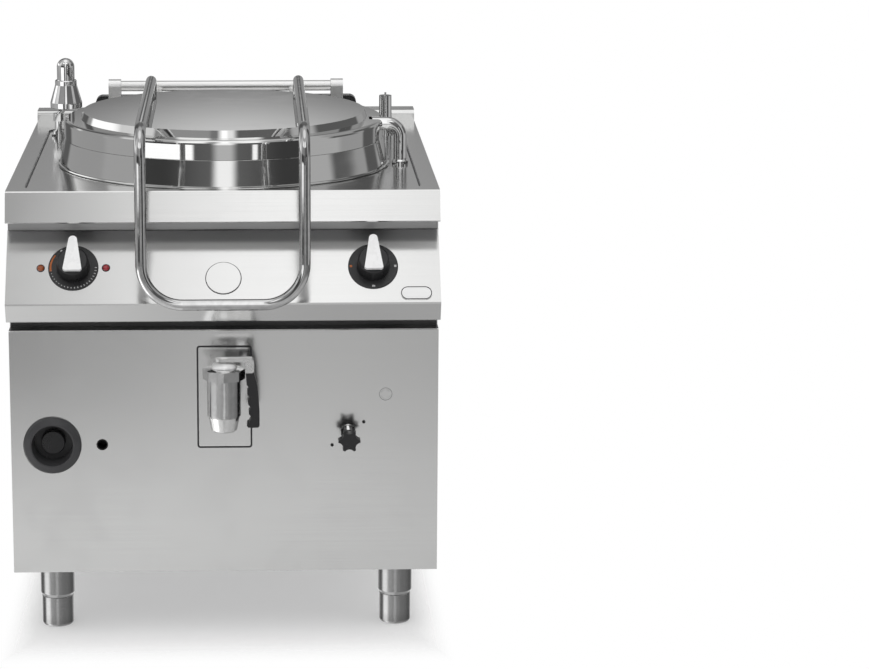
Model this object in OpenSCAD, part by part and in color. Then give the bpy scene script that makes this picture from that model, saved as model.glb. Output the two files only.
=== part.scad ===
/* [Unit] */
// Width of the unit
unit_w = 800; // [780:5:900]
// Height of the worktop
top_h = 870; // [850:5:900]
// Height of the underside of the cabinet
body_z = 138; // [130:1:150]
// Thickness of the cabinet sheet
sheet = 1.5; // [1:0.1:2]
// Drop of the front panel's top edge below the worktop
panel_drop = 264; // [258:1:274]
// Setback of the front panel behind the worktop's front edge
panel_back = 8; // [4:1:12]
// Setback of the bulkhead behind the worktop's front edge
bulkhead_back = 44; // [41:0.5:44.5]

/* [Worktop] */
// Thickness of the worktop sheet
top_t = 2; // [1.5:0.5:3]
// Height of the worktop's front face
top_edge_h = 56.5; // [50:0.5:60]
// Forward slope of the worktop's front face
top_edge_out = 19; // [10:1:24]
// Depth of the pressed recess in the worktop
well_d = 3; // [2:0.5:4]
// Width of the border beside the pressed recess
well_border = 32.5; // [28:0.5:36]
// Border in front of the pressed recess
well_front = 20; // [16:1:22]
// Border between the pressed recess and the back edge
well_back = 140; // [120:1:150]
// Corner radius of the pressed recess
well_r = 34; // [20:1:50]
// Depth of the rear upstand
upstand_d = 50; // [46:1:60]
// Height of the rear upstand
upstand_h = 23; // [18:1:30]
// Radius of the upstand's front top edge
upstand_r = 9; // [4:1:12]

/* [Control panel] */
// Drop of the panel's top edge below the worktop
cp_drop = 79.5; // [74:0.5:84]
// Setback of the panel's top edge behind the worktop's front edge
cp_back = 37; // [33:1:40]
// Length of the sloping face
cp_len = 154.6; // [150:0.1:160]
// Tilt of the sloping face from the vertical
cp_tilt = 38.4; // [36:0.1:40]
// Height of the lip under the sloping face
cp_lip_h = 36.3; // [30:0.1:38]
// Rearward run of the lip
cp_lip_back = 17; // [12:1:20]
// Distance from a side of the unit to the knob on that side
knob_in = 123.7; // [100:0.1:150]
// Distance from the panel's top edge to the knobs, along the slope
knob_s = 78.8; // [70:0.1:84]
// Distance from a knob's axis to its lamps
lamp_dx = 60; // [56:1:64]

/* [Knobs] */
// Radius of the dials
dial_r = 46.3; // [44:0.1:48]
// Thickness of the dials
dial_t = 2; // [1:0.5:3]
// Radius of a knob at its foot
knob_r = 30.5; // [28:0.5:33]
// Radius of a knob at its face
knob_top_r = 28.5; // [26:0.5:30]
// Height of a knob
knob_h = 30; // [24:1:34]
// Length of the pointer towards its tip
pointer_fwd = 47; // [44:0.5:50]
// Length of the pointer towards its tail
pointer_tail = 23; // [20:0.5:25]
// Width of the pointer at its tail
pointer_w = 34.6; // [30:0.1:38]
// Width of the pointer at its tip
pointer_tip_w = 16; // [12:0.5:20]
// Thickness of the pointer
pointer_t = 7; // [5:0.5:9]
// Radius of the knob shafts
shaft_r = 4; // [3:0.5:5]
// Radius of a lamp lens
lamp_r = 6.5; // [5:0.1:8]
// Height of a lamp lens
lamp_h = 4; // [2:0.5:6]
// Radius of the cap in the middle of the panel
cap_r = 32.5; // [28:0.5:36]
// Height of that cap above the panel
cap_h = 2.5; // [1.5:0.5:4]
// Distance from the panel's top edge to that cap, along the slope
cap_s = 101.7; // [98:0.1:110]
// Width of the badge plate
badge_w = 58; // [50:1:64]
// Height of the badge plate
badge_h = 27; // [22:1:30]
// Distance from the right side to the badge plate
badge_in = 45; // [42:1:50]
// Distance from the panel's top edge to the badge plate, along the slope
badge_s = 134.2; // [130:0.1:138]

/* [Pan] */
// Room between the worktop's front edge and the pan
pan_front = 49; // [47:1:53]
// Room between the pan and a side of the unit
pan_side = 100; // [98:1:110]
// Room between the pan and the worktop's back edge
pan_rear = 251; // [245:1:270]
// Wall of the pan
pan_wall = 2.5; // [2:0.1:3]
// Depth of the pan under its rim
pan_depth = 447; // [443:1:457]
// Inner radius of the curve from wall to floor
pan_knuckle = 15; // [12:1:20]
// Height of the pan's rim above the collar
rim_rise = 7; // [5:1:9]
// Height of the collar above the worktop
collar_h = 50; // [46:1:54]
// How far the collar's foot lies outside the pan
collar_foot_out = 21; // [19:0.5:24]
// How far the collar's top lies outside the pan
collar_top_out = 11; // [10:0.5:14]
// Radius of the bead round the collar's foot
bead_r = 2.5; // [2:0.1:3]
// How far the steam jacket lies outside the pan
jacket_out = 18; // [16:0.5:20]
// Height of the water space under the pan
jacket_drop = 78; // [70:1:84]
// Height of the jacket above the pan's floor
jacket_up = 118; // [100:1:120]
// Thickness of the insulation
lagging_t = 12; // [8:1:14]

/* [Lid] */
// How far the lid's edge lies outside the pan
lid_out = 11; // [10:0.5:13]
// Radius of the lid's rounded edge
lid_round = 8; // [5:0.5:9]
// Height of the lid's skirt
skirt_h = 36.5; // [34:0.5:40]
// Wall of the lid
lid_wall = 1.5; // [1:0.1:2]
// How far the raised disc's foot lies inside the pan's wall
disc_foot_in = 21.5; // [17:0.5:24]
// How far the raised disc's top lies inside the pan's wall
disc_top_in = 26.5; // [24:0.5:32]
// Height of the raised disc
disc_h = 13.5; // [10:0.5:16]
// Width of the notch for the water spout
notch_w = 34; // [32:1:40]
// Radius of the handle's tube
handle_r = 10.5; // [9:0.5:12]
// Wall of the handle's tube
handle_wall = 2; // [1.5:0.5:3]
// Distance from the middle to the handle's bars
handle_x = 149; // [140:1:160]
// Height of the handle's bars above the disc
handle_rise = 23; // [20:1:28]
// Reach of the handle in front of the worktop's edge
handle_out = 87; // [85:1:100]
// Drop of the handle's grip below its bars
handle_drop = 319; // [300:1:330]
// Bend radius at the front of the bars
handle_bend = 60; // [50:1:70]
// Bend radius at the corners of the grip
grip_bend = 75; // [60:1:90]
// Bend radius at the rear of the bars
rear_bend = 16; // [14:1:16]
// Distance from the lid's edge to the handle's rear ends
rear_foot_in = 19; // [18:0.5:20]
// Distance from the raised disc's edge to the handle's front posts
post_in = 24; // [20:0.5:28]

/* [Hinge] */
// Distance from the worktop's back edge to the hinge axis
hinge_in = 48; // [46:1:50]
// Height of the hinge axis above the worktop
hinge_rise = 75.5; // [73:0.5:78]
// Radius of the hinge tube
hinge_tube_r = 11; // [10:0.5:12]
// Radius of the hinge shaft
hinge_pin_r = 6; // [5:0.5:7]
// Overall width over the hinge brackets
hinge_w = 496; // [480:2:510]
// Width of one hinge bracket
bracket_w = 26; // [22:1:30]
// Radius of the hinge bracket's round top
bracket_r = 14.5; // [13:0.5:15.5]
// Distance from the middle to a hinge arm
arm_x = 150; // [130:1:170]
// Width of a hinge arm
arm_w = 30; // [24:1:36]
// Thickness of a hinge arm
arm_t = 12; // [10:1:14]

/* [Legs] */
// Distance from a side of the unit to a leg
leg_in = 74; // [60:1:90]
// Setback of the front legs behind the worktop's front edge
leg_front = 120; // [100:1:140]
// Distance from the back edge to the rear legs
leg_rear = 120; // [100:1:140]
// Radius of a leg's sleeve
sleeve_r = 32.5; // [32:0.5:36]
// Length of a leg's sleeve
sleeve_l = 78; // [72:1:84]
// Radius of a foot
foot_r = 30; // [28:0.5:31]
// Radius of a foot's stem
foot_stem_r = 24; // [20:0.5:25]
// Length of a foot's stem in its sleeve
foot_stem_l = 66; // [60:1:68]

/* [Drain tap] */
// Distance from the front panel to the tap's axis
tap_out = 93; // [86:1:98]
// Radius of the drain pipe
drain_r = 25; // [24:0.5:27]
// Bore radius of the drain pipe
drain_bore = 20; // [18:0.5:21]
// Radius of the tap's barrel
tap_r = 31; // [29:0.5:32]
// Height of the barrel above the pipe's axis
tap_up = 35.5; // [33:0.5:40]
// Depth of the barrel below the pipe's axis
tap_down = 33; // [30:1:36]
// Radius of the tap's plug
plug_r = 22; // [20:0.5:23]
// Radius of the plug's port
port_r = 16; // [14:0.5:17]
// Radius of the plug's stem
stem_r = 7; // [6:0.5:8]
// Width of the cap nut across its corners
nut_across = 78; // [75:0.5:80]
// Number of the cap nut's sides
nut_sides = 8; // [6:1:10]
// Radius at the foot of the nut's turned top
nut_r = 40; // [39:0.5:43]
// Height of the cap nut
nut_h = 21; // [16:0.5:23]
// Radius of the boss on the nut's top, at its foot
nut_face_r = 23.5; // [20:0.5:26]
// Drop of the nut's chamfer
nut_chamfer = 3; // [2:0.5:5]
// Radius of that boss at its top
nut_boss_r = 19; // [15:0.5:20]
// Height of that boss
nut_boss_h = 7; // [5:0.5:11]
// Radius of the nozzle at its top
nozzle_r = 28.5; // [26:0.5:29]
// Radius of the nozzle at its mouth
nozzle_tip_r = 23.7; // [22:0.1:25]
// Length of the nozzle
nozzle_l = 30; // [26:1:34]
// Bore radius of the nozzle
nozzle_bore = 18; // [16:0.5:19]

/* [Tap lever] */
// Thickness of the lever's bar
lever_t = 5; // [3:0.5:6]
// Width of the lever's knuckle and grip
lever_w = 25; // [20:1:28]
// Width of the lever's bar
bar_w = 22; // [18:1:24]
// Length of the lever's bar past the tap's axis
bar_tail = 17; // [14:1:20]
// Height of the lever's bar above the nut
lever_gap = 12; // [10:1:16]
// Gap between the nut's corners and the lever's knuckle
knuckle_gap = 1; // [0.8:0.1:3]
// Width of the lever's knuckle
knuckle_w = 15.5; // [14:0.5:20]
// Height of the lever's knuckle
knuckle_h = 25.5; // [18:0.5:28]
// Length of the grip under the knuckle
grip_l = 103; // [90:1:115]
// Thickness of the grip
grip_t = 18; // [16:0.5:22]
// Outward lean of the grip over its length
grip_lean = 7; // [5:0.5:12]
// Number of finger grooves in the grip
grooves = 4; // [3:1:5]
// Depth of a finger groove
groove_d = 3.4; // [1.5:0.1:4]

/* [Front fittings] */
// Width of the seam rectangle round the tap
cover_w = 99; // [90:1:110]
// Height of the seam rectangle round the tap
cover_h = 189; // [180:1:200]
// Height of that rectangle's top above the drain pipe's axis
cover_up = 72; // [64:1:80]
// Distance from the left side to the gas knob
gas_in = 77.3; // [75:0.1:90]
// Drop of the gas knob below the worktop
gas_drop = 483.3; // [474:0.1:494]
// Radius of the gas knob's cup
cup_r = 54.5; // [52:0.5:58]
// Radius of the cup's mouth
cup_mouth_r = 39; // [36:0.5:42]
// Stand-off of the cup in front of the panel
cup_out = 10; // [8:1:14]
// Depth of the cup behind its rim
cup_depth = 46; // [44:1:50]
// Radius of the gas knob
gas_knob_r = 22.5; // [20:0.5:24]
// Height of the gas knob
gas_knob_h = 15; // [12:0.5:16]
// Radius of the sight tube
sight_r = 10.8; // [9:0.1:12]
// Distance from the gas knob to the sight tube
sight_dx = 93.1; // [84:0.1:103]
// Distance from the right side to the level cock
cock_in = 168.5; // [160:0.1:180]
// Drop of the level cock below the worktop
cock_drop = 463; // [456:1:470]
// Radius of the star knob
star_r = 20.5; // [18:0.5:23]
// Number of lobes on the star knob
lobes = 6; // [5:1:8]
// Distance from the panel to the star knob's face
star_out = 68; // [62:1:74]
// Thickness of the star knob
star_t = 22; // [18:1:26]
// Radius of the level cock's neck
cock_r = 10; // [8:0.5:12]
// Distance from the right side to the blanking plug
blank_in = 98.4; // [90:0.1:108]
// Drop of the blanking plug below the worktop
blank_drop = 389.2; // [380:0.1:400]
// Radius of the blanking plug
blank_r = 9; // [7:0.5:11]

/* [Worktop fittings] */
// How far the water spout lies outside the pan
spout_out = 42; // [41:0.5:46]
// How far the water spout lies in front of the pan's axis
spout_fwd = 35; // [27:1:43]
// Radius of the spout's pipe
spout_r = 13; // [12:0.5:13.5]
// Height of the spout's arm above the worktop
spout_rise = 75.5; // [74:0.5:78]
// Bend radius of the spout
spout_bend = 26; // [22:1:28]
// Length of the spout's arm past its bend
spout_arm = 28; // [24:1:30]
// Distance from the left side to the safety valve's pipe
safety_in = 56; // [54:1:60]
// Distance from the worktop's back edge to the safety valve
safety_rear = 228; // [216:1:240]
// Sideways offset of the bell from its pipe
bell_dx = 17; // [14:1:20]
// Radius of the bell at its rim
bell_r = 32.5; // [30:0.5:35]
// Radius of the bell at its shoulder
bell_top_r = 22.2; // [20:0.1:24]
// Radius of the bell's dome
dome_r = 18; // [16:0.5:19.5]
// Height of the bell's rim above the worktop
bell_rise = 57; // [54:1:60]
// Height of the bell
bell_h = 102; // [96:1:108]
// Distance from the right side to the vent valve
vent_in = 69; // [64:1:74]
// Distance from the worktop's back edge to the vent valve
vent_rear = 210; // [200:1:220]
// Radius of the vent valve
vent_r = 13.5; // [12:0.5:15]
// Height of the vent valve above the worktop
vent_h = 77; // [72:1:82]

/* [Flue] */
// Distance from a side of the unit to the flue cover
flue_in = 123; // [115:1:135]
// Depth of the flue cover
flue_d = 29; // [26:1:29]
// Height of the flue cover above the upstand
flue_h = 28; // [24:1:32]
// Number of flue slots
flue_slots = 12; // [8:1:16]

/* [Hidden] */
$fn = 72;

// Step of the places of the handle's feet
place_step = 0.5;
// Overrun of a cut past the face that it leaves
over = 2;
// Gap between neighbouring sheets
seam = 0.3;
// Radial clearance of a part that turns or slides in its bore
run = 0.05;
// Slit round the tap's cover plate
slit = 2.5;
// Flange of a folded sheet
fold = 20;
// Leg of a corner post's angle
post_leg = 30;
// Wall of an angle or a rail
rail_t = 2.5;
// Height of a rail
rail_h = 30;
// Chamfer at the foot of a leg's sleeve
sleeve_chamfer = 6;
// Depth of the gas supply, water and drain sockets under the base
inlet_l = 40;
// Radius of those pipes
inlet_r = 10.5;
// Bore of those pipes
inlet_bore = 8;
// Radius over the corners of a pipe's lock nut
inlet_nut_r = 18;
// Thickness of a lock nut
inlet_nut_t = 5;
// Small edge radius on cast and moulded pieces
edge_r = 3;
// Corner that a bent sheet's fold cuts off
bend = 2;
// Share of the room between base and jacket that lies under the combustion chamber
chamber_share = 0.39;

half_w = unit_w / 2;
pan_r = half_w - pan_side;
pan_back = pan_front + pan_r;
top_depth = pan_back + pan_r + pan_rear;
front_reach = tap_out - panel_back + nut_across / 2;
y_edge = -(top_depth - front_reach) / 2;
y_rear = y_edge + top_depth;
y_panel = y_edge + panel_back;
y_bulk = y_edge + bulkhead_back;
y_pan = y_edge + pan_back;
y_tap = y_panel - tap_out;
y_hinge = y_rear - hinge_in;
y_up = y_rear - upstand_d;
well_z = top_h - well_d;
collar_z = top_h + collar_h;
rim_z = collar_z + rim_rise;
pan_floor_z = rim_z - pan_depth;
jacket_top_z = pan_floor_z + jacket_up;
tap_z = pan_floor_z + drain_bore;
cover_z = tap_z + cover_up - cover_h;
panel_top_z = top_h - panel_drop;
gas_z = top_h - gas_drop;
cock_z = top_h - cock_drop;
blank_z = top_h - blank_drop;
skirt_z = top_h - top_edge_h;
base_top = body_z + rail_t;
inner_w = half_w - sheet;
frame_w = half_w - max(sheet, top_t) - seam;
leg_x = half_w - leg_in;
knob_x = half_w - knob_in;
badge_x = half_w - badge_in;
gas_x = half_w - gas_in;
sight_x = gas_x - sight_dx;
cock_x = half_w - cock_in;
blank_x = half_w - blank_in;
safety_x = half_w - safety_in;
vent_x = half_w - vent_in;
flue_half = half_w - flue_in;
spout_x = pan_r + spout_out;
spout_y = y_pan - spout_fwd;
vent_y = y_rear - vent_rear;
collar_foot_r = pan_r + collar_foot_out;
collar_top_r = pan_r + collar_top_out;
jacket_r = pan_r + jacket_out;
lid_r = pan_r + lid_out;
disc_foot_r = pan_r - disc_foot_in;
disc_top_r = pan_r - disc_top_in;
handle_rear = round(sqrt(pow(lid_r - rear_foot_in, 2) - pow(handle_x, 2)) / place_step) * place_step;
post_fwd = round(sqrt(pow(disc_top_r - post_in, 2) - pow(handle_x, 2)) / place_step) * place_step;

// Left-hand normal of the segment from a to b
function seg_n(a, b) = let (d = b - a) [-d[1], d[0]] / norm(d);
// Point i of the open path p moved sideways by t with a mitred corner
function off_pt(p, i, t) = let (n = len(p) - 1,
    a = i > 0 ? seg_n(p[i - 1], p[i]) : seg_n(p[i], p[i + 1]),
    b = i < n ? seg_n(p[i], p[i + 1]) : a) p[i] + t * (a + b) / (1 + a * b);
// Outline of a sheet of thickness t folded along the path p
function folded(p, t) = concat(p, [for (i = [len(p) - 1:-1:0]) off_pt(p, i, t)]);

// Unit vector of v
function unit(v) = v / norm(v);
// Path p with c cut off on both sides of each of its inner corners
function bent(p, c) = [for (i = [0:len(p) - 1])
    each i == 0 || i == len(p) - 1 ? [p[i]]
        : [p[i] + c * unit(p[i - 1] - p[i]), p[i] + c * unit(p[i + 1] - p[i])]];

// Extrudes an outline of depth and height along the width, from x0 to x1
module along_x(x0, x1) {
    translate([x0, 0, 0])
        rotate([90, 0, 90])
            linear_extrude(x1 - x0)
                children();
}

// Extrudes an outline of width and height rearwards, from y0 to y1
module along_y(y0, y1) {
    translate([0, y1, 0])
        rotate([90, 0, 0])
            linear_extrude(y1 - y0)
                children();
}

// Box between two corners
module box(a, b) {
    translate(a)
        cube(b - a);
}

// Rod along the depth, centred at x and z
module rod_y(x, z, y0, y1, r) {
    translate([x, y1, z])
        rotate([90, 0, 0])
            cylinder(h = y1 - y0, r = r);
}

// Upright rod
module rod_z(x, y, z0, z1, r, r2 = -1) {
    translate([x, y, z0])
        cylinder(h = z1 - z0, r1 = r, r2 = r2 < 0 ? r : r2);
}

// Rod across the width
module rod_x(y, z, x0, x1, r) {
    translate([x0, y, z])
        rotate([0, 90, 0])
            cylinder(h = x1 - x0, r = r);
}

// Flat rectangle with round corners, centred
module rrect(w, h, r) {
    square([w - 2 * r, h], center = true);
    square([w, h - 2 * r], center = true);
    for (sx = [-1, 1], sy = [-1, 1])
        translate([sx * (w / 2 - r), sy * (h / 2 - r)])
            circle(r);
}

// Solid of revolution about the pan's axis
module about_pan() {
    translate([0, y_pan, 0])
        rotate_extrude($fn = 180)
            children();
}

// Places a piece on the sloping panel, its z axis along the panel's outward normal
module on_slope(x, s) {
    translate([x, y_edge + cp_back, top_h - cp_drop])
        rotate([90 - cp_tilt, 0, 0])
            translate([0, -s, 0])
                children();
}

/* Cabinet */

leg_y = [y_edge + leg_front, y_rear - leg_rear];
sleeve_z = body_z - sleeve_l;

// Corner posts, floor rails and the plate behind the control panel
module chassis_frame() {
    py = [y_bulk + sheet, y_rear - sheet - post_leg];
    color("silver") {
        for (s = [-1, 1], i = [0, 1])
            difference() {
                box([s > 0 ? frame_w - post_leg : -frame_w, py[i], base_top],
                    [s > 0 ? frame_w : -frame_w + post_leg, py[i] + post_leg, well_z - top_t]);
                box([s > 0 ? frame_w - post_leg - over : -frame_w + rail_t,
                     py[i] + (i == 0 ? rail_t : -over), base_top - over],
                    [s > 0 ? frame_w - rail_t : -frame_w + post_leg + over,
                     py[i] + post_leg + (i == 0 ? over : -rail_t), top_h + over]);
            }
        for (s = [-1, 1])
            box([s > 0 ? frame_w - rail_t : -frame_w, py[0] + post_leg, base_top],
                [s > 0 ? frame_w : -frame_w + rail_t, py[1], base_top + rail_h]);
        difference() {
            box([-frame_w, y_bulk, panel_top_z], [frame_w, y_bulk + sheet, well_z - top_t]);
            for (s = [-1, 1])
                on_slope(s * knob_x, knob_s)
                    translate([0, 0, -knob_depth - over])
                        cylinder(h = knob_depth, r = switch_r + seam);
        }
    }
}

module base_plate() {
    color("gray")
        difference() {
            box([-inner_w, y_panel + sheet, body_z], [inner_w, y_rear - sheet, base_top]);
            for (p = inlet_at)
                rod_z(p[0], p[1], body_z - over, base_top + over, inlet_neck_r + run);
        }
}

// Places of the gas, cold water and hot water inlets
inlet_y = y_rear - leg_rear + fold;
inlet_gap = sleeve_r + inlet_r + fold;
inlet_neck_r = (inlet_r + inlet_bore) / 2;
inlet_at = [[-leg_x + 2 * inlet_gap, inlet_y], [leg_x - 2 * inlet_gap, inlet_y],
            [leg_x - 3 * inlet_gap, inlet_y]];

side_outline = [[y_panel + sheet, body_z], [y_panel + sheet, panel_top_z - sheet - bend],
                [y_panel + sheet + bend, panel_top_z - sheet], [y_bulk, panel_top_z - sheet],
                [y_bulk, skirt_z], [y_rear, skirt_z], [y_rear, body_z]];

module side_panels() {
    color("lightgray")
        for (s = [-1, 1])
            along_x(s > 0 ? inner_w : -half_w, s > 0 ? half_w : -inner_w)
                polygon(side_outline);
}

module rear_panel() {
    color("lightgray")
        box([-frame_w, y_rear - sheet, body_z], [frame_w, y_rear, well_z - top_t]);
}

module cover_outline(grow) {
    translate([0, cover_z + cover_h / 2])
        rrect(cover_w + 2 * grow, cover_h + 2 * grow, edge_r + max(grow, 0));
}

screw_at = [[cock_x + 1.42 * star_r, cock_z + star_r], [cock_x - 1.48 * star_r, cock_z - 1.17 * star_r]];
screw_r = blank_r / 3;
cup_body_r = cup_mouth_r + edge_r;

module front_panel() {
    color("lightgray")
        difference() {
            union() {
                along_x(-half_w, half_w)
                    polygon(folded(bent([[y_panel, body_z], [y_panel, panel_top_z],
                                         [y_bulk, panel_top_z]], bend), -sheet));
                for (s = [-1, 1])
                    box([s > 0 ? inner_w - seam - sheet : -inner_w + seam, y_panel, body_z],
                        [s > 0 ? inner_w - seam : -inner_w + seam + sheet, y_panel + fold,
                         panel_top_z - bend]);
            }
            along_y(y_panel - over, y_panel + sheet + over)
                cover_outline(0);
            box([-half_w - over, y_panel + sheet, body_z - over],
                [half_w + over, y_panel + fold + over, base_top]);
            rod_y(-gas_x, gas_z, y_panel - over, y_panel + fold, cup_body_r);
            rod_y(-sight_x, gas_z, y_panel - over, y_panel + fold, sight_r);
            rod_y(cock_x, cock_z, y_panel - over, y_panel + fold, cock_r);
            rod_y(blank_x, blank_z, y_panel - over, y_panel + fold, blank_r);
            for (p = screw_at)
                rod_y(p[0], p[1], y_panel - over, y_panel + fold, screw_r / 2);
        }
}

module tap_cover_plate() {
    color("lightgray")
        difference() {
            union() {
                along_y(y_panel, y_panel + sheet)
                    cover_outline(-slit);
                along_y(y_panel + sheet, y_panel + 2 * sheet)
                    cover_outline(fold / 2);
            }
            rod_y(0, tap_z, y_panel - over, y_panel + fold, drain_r + seam);
        }
}

well_len = top_depth - well_back - well_front;

module well_outline(grow) {
    w = unit_w - 2 * well_border;
    translate([0, y_rear - well_back - well_len / 2])
        rrect(w + 2 * grow, well_len + 2 * grow, well_r + grow);
}

top_path = bent([[y_rear, top_h], [y_edge, top_h], [y_edge - top_edge_out, skirt_z],
                 [y_bulk - seam, skirt_z]], bend);

module worktop() {
    color("silver")
        difference() {
            union() {
                along_x(-half_w, half_w)
                    polygon(folded(top_path, top_t));
                for (s = [-1, 1])
                    along_x(s > 0 ? half_w - top_t : -half_w, s > 0 ? half_w : -half_w + top_t)
                        polygon(concat(top_path, [[y_rear, skirt_z]]));
                translate([0, 0, well_z - top_t])
                    linear_extrude(well_d + top_t)
                        well_outline(top_t);
            }
            translate([0, 0, well_z])
                linear_extrude(well_d + over)
                    well_outline(0);
            rod_z(0, y_pan, skirt_z, top_h + over, collar_in_r, $fn = 180);
            rod_z(spout_x, spout_y, skirt_z, top_h + over, spout_r);
            rod_z(-safety_x, safety_y, skirt_z, top_h + over, safety_pipe_r);
            box([-flue_half + sheet, y_rear - flue_d + sheet, skirt_z],
                [flue_half - sheet, y_rear - sheet, top_h + over]);
        }
}

module rear_upstand() {
    color("silver")
        difference() {
            union() {
                box([-half_w, y_up + upstand_r, top_h], [half_w, y_rear, top_h + upstand_h]);
                box([-half_w, y_up, top_h], [half_w, y_up + upstand_r, top_h + upstand_h - upstand_r]);
                rod_x(y_up + upstand_r, top_h + upstand_h - upstand_r, -half_w, half_w, upstand_r);
            }
            box([-half_w + top_t, y_up + top_t, top_h - over],
                [half_w - top_t, y_rear - sheet, top_h + upstand_h - upstand_r]);
            box([-flue_half + sheet, y_rear - flue_d + sheet, top_h],
                [flue_half - sheet, y_rear - sheet, top_h + upstand_h + over]);
        }
}

flue_z = top_h + upstand_h;
slot_pitch = 2 * flue_half / (flue_slots + 1);

// Cast cover with round shoulders and a row of slots
module flue_cover() {
    color([0.12, 0.12, 0.13])
        difference() {
            along_y(y_rear - flue_d, y_rear)
                difference() {
                    translate([0, flue_z])
                        rrect(2 * flue_half, 2 * flue_h, flue_h / 2);
                    translate([-flue_half - over, flue_z - 2 * flue_h])
                        square([2 * flue_half + 2 * over, 2 * flue_h]);
                }
            box([-flue_half + flue_d / 2, y_rear - flue_d + 2 * sheet, flue_z - over],
                [flue_half - flue_d / 2, y_rear - 2 * sheet, flue_z + flue_h - 2 * sheet]);
            for (i = [0:flue_slots - 1])
                translate([-flue_half + slot_pitch * (i + 1), y_rear - flue_d / 2, flue_z])
                    linear_extrude(flue_h + over)
                        rrect(slot_pitch * 0.6, flue_d * 0.4, flue_d * 0.15);
        }
}

duct_y = y_rear - flue_d + sheet;
chamber_r = pan_r - fold;
chamber_top = pan_floor_z - pan_wall - jacket_drop - 2 * sheet;
chamber_z = base_top + (chamber_top - base_top) * chamber_share;

/* Control panel */

cp_top = [y_edge + cp_back, top_h - cp_drop];
cp_low = cp_top - cp_len * [sin(cp_tilt), cos(cp_tilt)];
cp_lip = cp_low + [cp_lip_back, -cp_lip_h];
cp_path = bent([[y_bulk, cp_top[1]], cp_top, cp_low, cp_lip, [y_bulk, cp_lip[1]]], bend);
switch_r = 24;
knob_depth = (bulkhead_back + sheet - cp_back + knob_s * sin(cp_tilt)) / cos(cp_tilt);

module control_panel() {
    color("gainsboro")
        difference() {
            union() {
                along_x(-half_w, half_w)
                    polygon(folded(cp_path, sheet));
                for (s = [-1, 1])
                    along_x(s > 0 ? half_w - sheet : -half_w, s > 0 ? half_w : -half_w + sheet)
                        polygon(cp_path);
            }
            for (s = [-1, 1])
                on_slope(s * knob_x, knob_s)
                    translate([0, 0, -sheet - over])
                        cylinder(h = sheet + 2 * over, r = shaft_r + seam);
            for (s = [-1, 1])
                on_slope(-knob_x + s * lamp_dx, knob_s)
                    translate([0, 0, -sheet - over])
                        cylinder(h = sheet + 2 * over, r = lamp_r - sheet);
            on_slope(0, cap_s)
                translate([0, 0, -sheet - over])
                    cylinder(h = sheet + 2 * over, r = cap_r - edge_r);
        }
}

// Fixed dials under the two knobs
module knob_dials() {
    color([0.08, 0.08, 0.09])
        for (s = [-1, 1])
            on_slope(s * knob_x, knob_s)
                rotate_extrude($fn = 96)
                    polygon([[shaft_r + seam, 0], [dial_r, 0], [dial_r, dial_t / 2],
                             [dial_r - dial_t / 2, dial_t], [shaft_r + seam, dial_t]]);
}

knob_seat = dial_t + seam;

// Knob with a waisted skirt, a bored hub and a shaft into its switch
module knob(x) {
    color([0.1, 0.1, 0.11])
        on_slope(x, knob_s)
            union() {
                translate([0, 0, knob_seat])
                    rotate_extrude($fn = 96)
                        polygon([[0, 0], [knob_r, 0], [knob_r, edge_r], [knob_top_r, knob_h - edge_r],
                                 [knob_top_r - edge_r / 2, knob_h - edge_r / 3],
                                 [knob_top_r - edge_r, knob_h], [0, knob_h]]);
                translate([0, 0, -sheet - switch_gap - shaft_in])
                    cylinder(h = sheet + switch_gap + shaft_in + knob_seat, r = shaft_r);
            }
}

switch_gap = 0;
shaft_in = 16;

module temp_knob() {
    knob(-knob_x);
}

module fill_knob() {
    knob(knob_x);
}

// Wedge that lies on a knob's face and runs out over the dial
module pointer(x) {
    tip = pointer_tip_w / 2;
    tail = pointer_w / 2;
    color([0.86, 0.87, 0.87])
        on_slope(x, knob_s)
            translate([0, 0, knob_seat + knob_h])
                union() {
                    linear_extrude(pointer_t)
                        union() {
                            polygon([[-tail, -pointer_tail + edge_r], [-tail + edge_r, -pointer_tail],
                                     [tail - edge_r, -pointer_tail], [tail, -pointer_tail + edge_r],
                                     [tip, pointer_fwd - tip], [-tip, pointer_fwd - tip]]);
                            translate([0, pointer_fwd - tip])
                                circle(tip);
                        }
                }
}

module temp_pointer() {
    pointer(-knob_x);
}

module fill_pointer() {
    pointer(knob_x);
}

switch_l = 38;

// Thermostat and water selector behind the panel
module panel_switches() {
    color("dimgray")
        for (s = [-1, 1])
            on_slope(s * knob_x, knob_s)
                difference() {
                    translate([0, 0, -sheet - switch_l])
                        cylinder(h = switch_l, r = switch_r);
                    translate([0, 0, -sheet - shaft_in - seam])
                        cylinder(h = shaft_in + seam + over, r = shaft_r + run);
                }
}

module lamp(x) {
    on_slope(x, knob_s)
        union() {
            rotate_extrude($fn = 48)
                polygon([[0, 0], [lamp_r, 0], [lamp_r, lamp_h / 3], [lamp_r * 0.8, lamp_h * 0.8],
                         [lamp_r * 0.45, lamp_h], [0, lamp_h]]);
            translate([0, 0, -fold])
                cylinder(h = fold, r = lamp_r - sheet);
        }
}

module amber_lamp() {
    color("orange")
        lamp(-knob_x - lamp_dx);
}

module red_lamp() {
    color("crimson")
        lamp(-knob_x + lamp_dx);
}

// Cap over the spare hole in the middle of the panel
module panel_cap() {
    color("silver")
        on_slope(0, cap_s)
            union() {
                rotate_extrude($fn = 96)
                    polygon([[0, 0], [cap_r, 0], [cap_r, cap_h - sheet / 2], [cap_r - sheet / 2, cap_h],
                             [0, cap_h]]);
                translate([0, 0, -fold / 2])
                    cylinder(h = fold / 2, r = cap_r - edge_r);
            }
}

module badge_plate() {
    color("silver")
        on_slope(badge_x, badge_s)
            linear_extrude(sheet)
                rrect(badge_w, badge_h, badge_h * 0.49);
}

/* Legs */

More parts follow.
